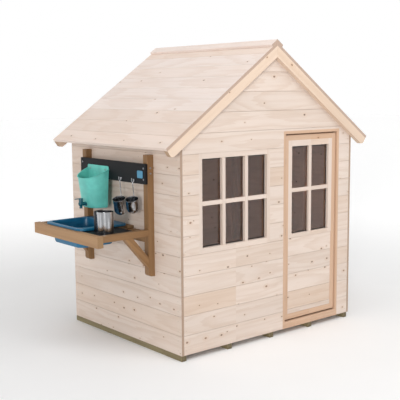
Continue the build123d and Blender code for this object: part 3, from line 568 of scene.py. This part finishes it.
tank_material = plastic("plastic_tank", srgb(102, 200, 188), 0.34, srgb(160, 220, 210))
tap_material = plastic("plastic_tap", srgb(0, 84, 98), 0.22, srgb(60, 140, 150), coat=0.3)
basin_material = plastic("plastic_basin", srgb(0, 96, 134), 0.32, srgb(50, 140, 176))
jug_material = plastic("plastic_jug", srgb(4, 9, 18), 0.3, srgb(24, 34, 50))
badge_material = plastic("plastic_badge", srgb(74, 146, 180), 0.3, srgb(160, 200, 220))
utensil = steel("steel_utensil", (0.62, 0.63, 0.65), 0.2, (260.0, 260.0, 16.0), painted_reflection=0.6)
hook_material = steel("steel_hook", (0.34, 0.35, 0.37), 0.3, (300.0, 300.0, 60.0))
screw_material = steel("steel_screw", (0.40, 0.40, 0.42), 0.3, (500.0, 500.0, 500.0))
# Painted shade: near-black steel for the floors of the screws' cross recesses
recess_shade_material = steel("painted_recess_shade", (0.10, 0.10, 0.10), 0.5, (500.0, 500.0, 500.0))
hinge_material = steel("steel_hinge", (0.34, 0.29, 0.24), 0.36, (400.0, 400.0, 60.0))
brad_material = steel("steel_brad", (0.44, 0.40, 0.36), 0.45, (500.0, 500.0, 500.0))

dress(hinge_material, "hinge_fixed_halves", "hinge_moving_halves", "hinge_pins")
dress(painted_board("paint_back_board", (240.0, 9.0, 240.0)), "kitchen_back_board")
dress(painted_board("paint_work_board", (9.0, 240.0, 240.0)), "kitchen_work_board")
dress(clear_plastic("clear_sheet"), "door_sheet", "window_sheet")
dress(badge_material, "kitchen_badge")
dress(tap_material, "tap_nut")

OUTWARD = (-1.0, 0.0, 0.0)  # away from the wall that the kitchen hangs on
FORWARD = (0.0, -1.0, 0.0)
BOARD_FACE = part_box("kitchen_back_board")[0][0] / MM

# ---- Water tank ----
tank_low, tank_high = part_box("water_tank")
TANK_Y = (tank_low[1] + tank_high[1]) / 2 / MM
TANK_FOOT = (78.0, 80.0)  # depth, and half the width
TANK_MOUTH = (106.0, 97.0)
TANK_SQUARENESS = 2.7
TANK_Z = (687.0, 883.0)
TANK_FRONT_RIM = 839.0
TANK_LEVELS = 12
PLATE_Z = (866.0, 900.0)
PLATE_CORNER = 8.0
FLAT_POINTS = 8  # steps across the tank's flat back


def tank_ring(level, grow, back, lift=0.0, count=44):
    """A ring of the tank. level runs from 0 at the foot to 1 at the sloping mouth."""
    ring = []
    for i in range(count + 1):
        turn = math.pi * (i / count - 0.5)
        power = 2 / TANK_SQUARENESS
        out_share = abs(math.cos(turn)) ** power
        side_share = math.copysign(abs(math.sin(turn)) ** power, math.sin(turn))
        mouth_z = TANK_Z[1] + (TANK_FRONT_RIM - TANK_Z[1]) * out_share
        z = TANK_Z[0] + (mouth_z - TANK_Z[0]) * level
        share = (z - TANK_Z[0]) / (TANK_Z[1] - TANK_Z[0])
        depth = TANK_FOOT[0] + (TANK_MOUTH[0] - TANK_FOOT[0]) * share + grow
        half = TANK_FOOT[1] + (TANK_MOUTH[1] - TANK_FOOT[1]) * share + grow
        x = min(BOARD_FACE - depth * out_share, BOARD_FACE - back)
        ring.append((x, TANK_Y + half * side_share, z + lift))
    start, end = ring[count], ring[0]
    for k in range(1, FLAT_POINTS):
        share = k / FLAT_POINTS
        ring.append(tuple(a + (b - a) * share for a, b in zip(start, end)))
    return ring


# Each ring of the tank: level, growth, distance of its back from the board, and lift
outer = [(0.0, -7.0, 0.1, 0.0), (0.0, -2.5, 0.1, 1.5), (0.0, -0.6, 0.1, 4.5)]
outer += [(level / TANK_LEVELS, 0.0, 0.1, 0.0) for level in range(1, TANK_LEVELS)]
outer += [(0.985, 0.0, 0.1, 0.0), (0.985, 2.4, 0.1, 1.0)]
outer += [(1.0, 3.0, 0.1, 0.0), (1.0, 2.2, 0.1, 1.6), (1.0, 0.0, 0.1, 2.2)]
inner = [(1.0, -2.4, 3.6, 1.6), (1.0, -3.0, 3.6, 0.0)]
inner += [(level / TANK_LEVELS, -3.0, 3.6, 0.0) for level in range(TANK_LEVELS - 1, 0, -1)]
inner += [(0.0, -4.0, 3.8, 8.0), (0.0, -8.0, 5.0, 4.6), (0.0, -20.0, 12.0, 4.0)]
tank = Shape()
tank.skin([tank_ring(*values) for values in outer + inner])
plate_rings = []
for depth, inset in ((0.1, 0.0), (2.2, 0.0), (3.0, 0.8)):
    plate_y = (TANK_Y - TANK_MOUTH[1] + inset, TANK_Y + TANK_MOUTH[1] - inset)
    plate_z = (PLATE_Z[0] + inset, PLATE_Z[1] - inset)
    flat = rounded_rectangle(plate_y, plate_z, 0.0, PLATE_CORNER)
    plate_rings.append([(BOARD_FACE - depth, y, z) for y, z, _ in flat])
tank.skin(plate_rings)
place_piece("tank_shell", tank, tank_material, "house", ["water_tank"])

# ---- Tap ----
TAP_Z = 709.0
TANK_WALL_X = BOARD_FACE - 77.0
VALVE_X = BOARD_FACE - 109.0
SPOUT_Z = 686.0
LEVER_Z = 731.3
ARM_Z = 735.6
ARM_START, ARM_LENGTH = 2.0, 38.0
ARM_RINGS, ARM_ROUND = 14, 20

tap = Shape()
barrel = [(0.4, -2.0), (14.0, -2.0), (14.0, 3.4), (13.0, 4.6), (9.4, 5.0), (9.0, 14.0), (9.4, 24.0)]
barrel += [(11.4, 28.0), (12.0, 33.0), (11.4, 38.0), (9.6, 42.0), (6.0, 44.2), (0.4, 44.8)]
tap.lathe(barrel, (TANK_WALL_X, TANK_Y, TAP_Z), OUTWARD)
spout = [(0.4, 12.0), (4.6, 11.5), (5.0, 0.6), (5.8, 0.0), (7.6, 0.0), (8.4, 0.8), (8.4, 3.0)]
spout += [(7.6, 4.0), (7.8, 12.0), (9.4, 16.0), (10.4, 20.0), (10.6, 31.0), (11.0, 32.0)]
spout += [(11.0, 36.0), (10.2, 37.0), (10.2, 39.5), (11.0, 40.4), (11.0, 44.4), (10.4, 45.0), (0.4, 45.0)]
tap.lathe(spout, (VALVE_X, TANK_Y, SPOUT_Z))
place_piece("tap_spigot", tap, tap_material, "house", ["tap_body"])

lever = Shape()
cap = [(0.4, 0.0), (9.6, 0.0), (11.0, 0.8), (11.0, 5.0), (10.2, 6.4), (8.0, 7.0), (0.4, 7.0)]
lever.lathe(cap, (VALVE_X, TANK_Y, LEVER_Z))
arm = []
for k in range(ARM_RINGS + 1):
    share = k / ARM_RINGS
    at_tip = share >= 0.93
    half = 4.5 * (1 - 0.35 * math.sin(math.pi * min(1.0, share * 1.25))) * (0.75 if at_tip else 1.0)
    tall = 1.5 if at_tip else 2.4
    x = VALVE_X + ARM_START - ARM_LENGTH * share
    turns = [2 * math.pi * i / ARM_ROUND for i in range(ARM_ROUND)]
    arm.append([(x, TANK_Y + half * math.cos(t), ARM_Z + tall * math.sin(t)) for t in turns])
lever.skin(arm)
place_piece("tap_handle", lever, tap_material, "tap_lever", ["tap_lever"])

# ---- Basin ----
flange_low, flange_high = in_mm(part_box("basin"))
BASIN_LOW = flange_low[2]
RIM_TOP = flange_high[2]
RIM_LOW = 612.3
RIM_TALL = RIM_TOP - RIM_LOW
BASIN_INSETS = ((17.0, 37.0), (40.5, 16.0))  # of the bowl's walls at the rim, along X and Y
BASIN_LEAN = 12.0  # how much more they come in at the foot
BASIN_CORNER = 36.0
BASIN_STEPS = 8
wide_x = (flange_low[0], flange_high[0])
wide_y = (flange_low[1], flange_high[1])


def flange_ring(edge, z):
    """A ring brought in from the flange's edge."""
    x = (wide_x[0] + edge, wide_x[1] - edge)
    y = (wide_y[0] + edge, wide_y[1] - edge)
    return rounded_rectangle(x, y, z, max(BASIN_CORNER - edge, 14.0))


def wall_ring(share, inset, lift=0.0, corner=BASIN_CORNER, z=None):
    """A ring of the bowl's wall. share runs from 0 at its foot to 1 at the rim, unless z is given."""
    lean = BASIN_LEAN * (1 - share) + inset
    x, y = [
        (limits[0] + insets[0] + lean, limits[1] - insets[1] - lean)
        for limits, insets in zip((wide_x, wide_y), BASIN_INSETS)
    ]
    if z is None:
        z = BASIN_LOW + (RIM_LOW - BASIN_LOW) * share
    return rounded_rectangle(x, y, z + lift, corner)


foot_outside = ((9.0, 0.0, 26.0), (3.0, 1.2, 32.0), (0.4, 5.0, 35.0))  # inset, lift and corner
foot_inside = ((4.0, 8.0, 30.0), (8.0, 4.4, 26.0), (18.0, 3.2, 20.0))
rings = [wall_ring(0.0, *values) for values in foot_outside]
rings += [wall_ring(step / BASIN_STEPS * 0.98, 0.0) for step in range(1, BASIN_STEPS + 1)]
rings += [flange_ring(8.0, RIM_LOW), flange_ring(1.6, RIM_LOW), flange_ring(0.3, RIM_LOW + 1.4)]
rings += [flange_ring(0.0, RIM_LOW + RIM_TALL * 0.6), flange_ring(0.8, RIM_TOP - 1.2)]
rings += [flange_ring(3.0, RIM_TOP), flange_ring(12.0, RIM_TOP)]
rings += [wall_ring(1.0, 1.5, corner=34.0, z=RIM_TOP - 0.5)]
rings += [wall_ring(1.0, 2.8, corner=34.0, z=RIM_TOP - 2.6)]
rings += [wall_ring(step / BASIN_STEPS, 3.0, corner=33.0) for step in range(BASIN_STEPS, 0, -1)]
rings += [wall_ring(0.0, *values) for values in foot_inside]
basin = Shape()
basin.skin(rings)
place_piece("basin_tub", basin, basin_material, "basin", ["basin"])

# ---- Beaker and jug ----
def standing(box):
    """The middle of a box's foot, its width and its height, in millimetres."""
    low, high = in_mm(box)
    foot = ((low[0] + high[0]) / 2, (low[1] + high[1]) / 2, low[2])
    return foot, high[0] - low[0], high[2] - low[2]


beaker_foot, _, tall = standing(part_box("beaker"))
beaker = Shape()
profile = [(0.5, 1.6), (33.0, 1.6), (35.0, 0.0), (37.6, 0.0), (39.2, 1.0), (40.0, 3.2)]
profile += [(40.0, tall - 4.0), (40.2, tall - 2.6), (40.7, tall - 1.6), (40.5, tall - 0.4), (39.6, tall)]
profile += [(38.7, tall - 0.5), (38.6, tall - 3.0), (39.0, tall - 6.0), (39.0, 6.0), (37.6, 3.4)]
profile += [(34.0, 2.6), (0.5, 2.6)]
beaker.lathe(profile, beaker_foot, segments=80)
place_piece("beaker_cup", beaker, utensil, "beaker", ["beaker"])

JUG_TALL = 100.0  # on its axis
JUG_RISE = Vector((0.77, -0.64, 0.0)) * math.tan(math.radians(8.0))  # slope of its mouth
SLOPED_ABOVE = 50.0
jug_foot, jug_width, _ = standing(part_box("jug"))
wide = jug_width / 2
jug = Shape()
profile = [(0.5, 2.0), (wide - 5, 2.0), (wide - 3.4, 0.0), (wide - 1.2, 0.6), (wide, 3.0), (wide, 40.0)]
profile += [(wide, JUG_TALL - 4.0), (wide - 0.1, JUG_TALL - 1.0), (wide - 1.0, JUG_TALL)]
profile += [(wide - 1.9, JUG_TALL - 1.0), (wide - 2.0, JUG_TALL - 5.0), (wide - 2.0, 8.0)]
profile += [(wide - 5.0, 4.2), (0.5, 4.0)]


def mouth_shift(out, height):
    return out.dot(JUG_RISE) if height > SLOPED_ABOVE else 0.0


jug.lathe(profile, jug_foot, segments=64, shift=mouth_shift)
place_piece("jug_cup", jug, jug_material, "jug", ["jug"])

# ---- Hooks and ladles ----
HOOK_Z = 848.0
HOOK_ROD = 2.0
EYE_X = BOARD_FACE - 7.5
EYE_DROP = 2.2  # middle of a ladle's ring below the hook's
EYE_RING = (6.0, 3.0, 2.0)  # radius of its middle line, width and thickness
EYE_STEPS = 36
MOUTH_OUT = 17.5  # middle of a ladle's mouth, out from the ring
TILT = math.radians(20.0)
TURN = math.radians(35.0)
BOWL = 32.0
BOWL_SKIN = 1.2
BOWL_STEPS = 14
STRIP = (4.6, 1.8)
LAP = 12.0  # length of the strip on the bowl
RIVETS = (3.5, 9.0)
LADLES = (("ladle_left", -64.5, 749.0, 56.0), ("ladle_right", -174.5, 758.0, 44.0))

hooks = Shape()
button = [(0.4, 0.0), (6.0, 0.0), (6.0, 0.9), (5.0, 1.8), (2.6, 2.0), (0.4, 2.0)]
rod = [(1.0, 0.0), (9.0, 0.0), (12.2, 0.6), (13.0, 3.0), (13.0, 9.8)]  # out from the board, and up
for _, y, _, _ in LADLES:
    hooks.lathe(button, (BOARD_FACE - 0.1, y, HOOK_Z), OUTWARD)
    path = [(BOARD_FACE - out, y, HOOK_Z + up) for out, up in rod]
    hooks.sweep(smooth_path(path), circle(HOOK_ROD), Y)
place_piece("hook_pair", hooks, hook_material, "house", ["kitchen_hooks"])


def bowl_arc(radius, collar):
    """Radius and height pairs up a bowl's round end, measured from its mouth."""
    arc = [(0.4, -collar - radius)]
    for k in range(1, BOWL_STEPS + 1):
        turn = math.pi / 2 * k / BOWL_STEPS
        arc.append((radius * math.sin(turn), -collar - radius * math.cos(turn)))
    return arc


for body, y, mouth_z, collar in LADLES:
    upright = Vector(Z)
    ladle_out = Vector((-math.cos(TURN), -math.sin(TURN), 0.0))
    ladle_across = Vector((math.sin(TURN), -math.cos(TURN), 0.0))
    ladle_up = upright * math.cos(TILT) + ladle_out * math.sin(TILT)
    ladle_back = upright * math.sin(TILT) - ladle_out * math.cos(TILT)
    eye = Vector((EYE_X, y, HOOK_Z - EYE_DROP))
    mouth = Vector((EYE_X, y, mouth_z)) + ladle_out * MOUTH_OUT

    within = BOWL - BOWL_SKIN
    lip = [(BOWL, -collar * 0.5), (BOWL, -3.0), (BOWL + 0.5, -1.8), (BOWL + 0.9, -0.7)]
    lip += [(BOWL + 0.3, 0.1), (BOWL - 0.7, 0.0), (within, -1.2), (within, -collar * 0.5)]
    inside = bowl_arc(within, collar)[::-1]
    cup = Shape()
    cup.lathe(bowl_arc(BOWL, collar) + lip + inside, mouth, ladle_up, segments=72)
    place_piece(f"{body}_cup", cup, utensil, body, [f"{body}_bowl"])

    grip = Shape()
    rings = []
    for i in range(EYE_STEPS):
        angle = 2 * math.pi * i / EYE_STEPS
        out = ladle_across * math.cos(angle) + upright * math.sin(angle)
        centre = eye + out * EYE_RING[0]
        rings.append([centre + out * a + ladle_out * b for a, b in rounded_strip(*EYE_RING[1:])])
    grip.skin(rings, closed=True)
    lap = mouth + ladle_back * (BOWL + 1.1)
    path = [eye - upright * 6.5, eye - upright * 16.0 - ladle_out * 0.8]
    path += [lap + ladle_out + upright * 16.0, lap - ladle_out * 0.3 + upright, lap - ladle_up * LAP]
    grip.sweep(smooth_path(path), rounded_strip(*STRIP), ladle_across)
    for down in RIVETS:
        spot = lap - ladle_up * down + ladle_back * 0.9
        grip.lathe([(0.3, 0.0), (1.5, 0.0), (1.2, 0.7), (0.3, 0.9)], spot, ladle_back, segments=14)
    place_piece(f"{body}_grip", grip, utensil, body, [f"{body}_handle"])

# ---- Screws ----
HEAD_RADIUS, HEAD_TALL = 4.5, 1.6
ROUND_STEPS = 3  # corners round a head for each corner of its recess
POST_FRONT = in_mm(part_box("kitchen_post_front"))[0]
POST_BACK = in_mm(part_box("kitchen_post_back"))[0]
HALF_POST = 17.5
POST_MIDDLE_X = -505.5
BOARD_SCREWS_Z = (855.0, 909.0)
POST_SCREWS_Z = (884.0, 911.0)
TANK_SCREWS = (68.0, 881.0)  # either side of the tank's middle, and height


def screw_head(shape, recesses, point, out):
    """A pan head with a cross recess. The recess's outline is kept for a near-black piece over its floor:
    painted shade.
    """
    origin, out = Vector(point), Vector(out)
    side = out.orthogonal().normalized()
    other = out.cross(side)
    half, reach = HEAD_RADIUS * 0.13, HEAD_RADIUS * 0.5
    cross = [(reach, -half), (reach, half), (half, half), (half, reach), (-half, reach), (-half, half)]
    cross += [(-a, -b) for a, b in cross]
    turns = [math.atan2(b, a) for a, b in cross]
    corners = len(cross)
    round_count = corners * ROUND_STEPS

    def spot(a, b, height):
        return origin + side * a + other * b + out * height

    base = len(shape.verts)
    for share, height in ((1.0, 0.0), (1.0, HEAD_TALL * 0.45), (0.82, HEAD_TALL * 0.88)):
        radius = HEAD_RADIUS * share
        for i, turn in enumerate(turns):
            gap = (turns[(i + 1) % corners] - turn) % (2 * math.pi)
            for k in range(ROUND_STEPS):
                angle = turn + gap * k / ROUND_STEPS
                rim = spot(radius * math.cos(angle), radius * math.sin(angle), height)
                shape.verts.append(tuple(rim))
    for level in (HEAD_TALL, HEAD_TALL * 0.35):
        shape.verts.extend(tuple(spot(a, b, level)) for a, b in cross)
    for level in (0, 1):
        low = base + level * round_count
        high = low + round_count
        for i in range(round_count):
            j = (i + 1) % round_count
            shape.faces.append([low + i, low + j, high + j, high + i])
    top = base + 2 * round_count
    brink = top + round_count
    floor = brink + corners
    for i in range(corners):
        j = (i + 1) % corners
        edge = [top + (ROUND_STEPS * i + k) % round_count for k in range(ROUND_STEPS, -1, -1)]
        shape.faces.append([brink + i, brink + j, *edge])
        shape.faces.append([brink + i, floor + i, floor + j, brink + j])
    shape.faces.append([base + i for i in reversed(range(round_count))])
    shape.faces.append([floor + i for i in range(corners)])
    recesses.append([tuple(spot(a * 0.98, b * 0.98, HEAD_TALL * 0.42)) for a, b in cross])


heads, tank_heads, shade_floors = Shape(), Shape(), []
for post in (POST_FRONT, POST_BACK):
    for z in BOARD_SCREWS_Z:
        screw_head(heads, shade_floors, (BOARD_FACE, post[1] + HALF_POST, z), OUTWARD)
for z in POST_SCREWS_Z:
    screw_head(heads, shade_floors, (POST_MIDDLE_X, POST_FRONT[1], z), FORWARD)
for side in (-1, 1):
    place = (BOARD_FACE - 3.0, TANK_Y + side * TANK_SCREWS[0], TANK_SCREWS[1])
    screw_head(tank_heads, shade_floors, place, OUTWARD)
for name, shape, node in (
    ("board_screw_heads", heads, "kitchen_screws"),
    ("tank_screw_heads", tank_heads, "tank_screws"),
):
    place_piece(name, shape, screw_material, "house", [node], crease=30)
# Painted shade: a flat near-black piece over the floor of each cross recess
dark = Shape()
for ring in shade_floors:
    base = len(dark.verts)
    dark.verts.extend(ring)
    dark.faces.append([base + i for i in range(len(ring))])
place_piece("screw_recess_shade", dark, recess_shade_material, "house")

# ---- Brads: two small heads hold each wall board to each batten ----
BRAD = [(0.2, -0.2), (1.5, -0.2), (1.5, 0.2), (1.0, 0.45), (0.2, 0.5)]
BRAD_INSET = 27.0  # from the house's corners
BRAD_SPREAD = 24.0  # above and below the middle of a board
BOARD_MIDDLE = 47.0
SIDE_BRADS = 150.0  # on the side walls' inner battens, either side of the middle
FRONT_COURSES, SIDE_COURSES = 11, 10
wall_low, wall_high = in_mm(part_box("front_wall_boards"))
SIDE_BOARD = 14.0
house_low, house_high = wall_low[0] - SIDE_BOARD, wall_high[0] + SIDE_BOARD
front_y, back_y = wall_low[1], -wall_low[1]

brads = Shape()
for number in range(FRONT_COURSES):
    middle = (WALL_BASE + COURSE * number) / MM + BOARD_MIDDLE
    heights = (middle - BRAD_SPREAD, middle + BRAD_SPREAD)
    for x in (house_low + BRAD_INSET, house_high - BRAD_INSET):
        for z in heights:
            brads.lathe(BRAD, (x, front_y, z), FORWARD, segments=10)
            brads.lathe(BRAD, (x, back_y, z), Y, segments=10)
    if number < SIDE_COURSES:
        for y in (front_y + BRAD_INSET, -SIDE_BRADS, SIDE_BRADS, back_y - BRAD_INSET):
            for z in heights:
                brads.lathe(BRAD, (house_low, y, z), OUTWARD, segments=10)
                brads.lathe(BRAD, (house_high, y, z), X, segments=10)
place_piece("wall_brads", brads, brad_material, "house")

# ---- Studio ----
FILL = 0.56  # how bright the studio is all round
WHITE = (1.0, 1.0, 1.0)
FLOOR_HALF = 30.0
GLOW_FROM, GLOW_TO, GLOW = 1.0, 4.5, 0.26  # metres from the middle, and the most it adds
PANEL_STRETCH = (5.0, 5.0, 0.4)  # makes the panels that polished metal shows tall and narrow
PANEL_CONTRAST = (("From Min", 0.42), ("From Max", 0.56), ("To Min", 0.06), ("To Max", 1.15))


def make_floor():
    """A pale floor that glows more with distance, so that no horizon shows."""
    mesh = bpy.data.meshes.new("studio_floor")
    size = FLOOR_HALF
    corners = [(-size, -size, 0), (size, -size, 0), (size, size, 0), (-size, size, 0)]
    mesh.from_pydata(corners, [], [(0, 1, 2, 3)])
    floor = bpy.data.objects.new("studio_floor", mesh)
    bpy.context.scene.collection.objects.link(floor)
    s = Shader("studio_floor")
    mottle = s.noise(s.place, 3.0, 2.0)
    colour = s.mix(mottle, (0.93, 0.93, 0.93), (0.96, 0.96, 0.96))
    away = s.add("ShaderNodeVectorMath", {0: s.place}, "Value", operation="LENGTH")
    glow = s.math("MULTIPLY", s.span(away, GLOW_FROM, GLOW_TO), GLOW)
    look = {"Base_Color": colour, "Emission_Color": WHITE, "Emission_Strength": glow}
    mesh.materials.append(s.finish(**look, Roughness=0.8))


make_floor()

# The world is white to the camera, has panels for reflections and is even for all other rays
world = bpy.data.worlds.new("studio")
bpy.context.scene.world = world
world.use_nodes = True
tree = world.node_tree
tree.nodes.clear()
direction = tree.nodes.new("ShaderNodeTexCoord").outputs["Generated"]
stretch = tree.nodes.new("ShaderNodeMapping")
stretch.inputs["Scale"].default_value = PANEL_STRETCH
tree.links.new(direction, stretch.inputs["Vector"])
panels = tree.nodes.new("ShaderNodeTexNoise")
panels.inputs["Scale"].default_value = 1.6
panels.inputs["Detail"].default_value = 1.0
tree.links.new(stretch.outputs["Vector"], panels.inputs["Vector"])
contrast = tree.nodes.new("ShaderNodeMapRange")
contrast.interpolation_type = "SMOOTHSTEP"
for socket, value in PANEL_CONTRAST:
    contrast.inputs[socket].default_value = value
tree.links.new(panels.outputs["Fac"], contrast.inputs["Value"])
rays = tree.nodes.new("ShaderNodeLightPath").outputs
even = tree.nodes.new("ShaderNodeMix")
even.inputs[2].default_value = FILL
tree.links.new(rays["Is Glossy Ray"], even.inputs[0])
tree.links.new(contrast.outputs[0], even.inputs[3])
seen = tree.nodes.new("ShaderNodeMix")
seen.inputs[3].default_value = 1.0
tree.links.new(rays["Is Camera Ray"], seen.inputs[0])
tree.links.new(even.outputs[0], seen.inputs[2])
background = tree.nodes.new("ShaderNodeBackground")
background.inputs["Color"].default_value = (*WHITE, 1.0)
tree.links.new(seen.outputs[0], background.inputs["Strength"])
world_output = tree.nodes.new("ShaderNodeOutputWorld")
tree.links.new(background.outputs[0], world_output.inputs["Surface"])


def add_light(name, kind, energy, towards, place=(0.0, 0.0, 0.0), **settings):
    """A light, given the direction back towards it."""
    light = bpy.data.lights.new(name, kind)
    light.energy = energy
    for key, value in settings.items():
        setattr(light, key, value)
    lamp = bpy.data.objects.new(name, light)
    bpy.context.scene.collection.objects.link(lamp)
    lamp.location = place
    lamp.rotation_euler = Vector(towards).to_track_quat("Z", "Y").to_euler()


panel_place, panel_target = Vector((0.1, -2.6, 3.2)), Vector((0.1, -0.4, 1.0))
add_light("overhead", "SUN", 0.6, (-0.2, -0.2, 0.95), angle=math.radians(40.0))
add_light("key", "SUN", 1.0, (-0.78, -0.6, 0.12), angle=math.radians(7.0))
add_light("front_panel", "AREA", 36.0, panel_place - panel_target, panel_place, size=2.0)

# ---- Camera, matched to the photo ----
CAMERA_PLACE = (-2.7813, -3.3794, 1.2784)
CAMERA_FORWARD = (0.6331, 0.7623, -0.1348)
CAMERA_ROLL = -0.0074
LENS = 72.9

camera_data = bpy.data.cameras.new("camera")
camera_data.sensor_width = 36.0
camera_data.lens = LENS
camera = bpy.data.objects.new("camera", camera_data)
bpy.context.scene.collection.objects.link(camera)
bpy.context.scene.camera = camera
forward = Vector(CAMERA_FORWARD).normalized()
level = forward.cross(Vector(Z)).normalized()
right = level * math.cos(CAMERA_ROLL) + level.cross(forward) * math.sin(CAMERA_ROLL)
turn = Matrix((right, right.cross(forward), -forward)).transposed().to_4x4()
camera.matrix_world = Matrix.Translation(CAMERA_PLACE) @ turn
bpy.context.scene.view_settings.view_transform = "Standard"
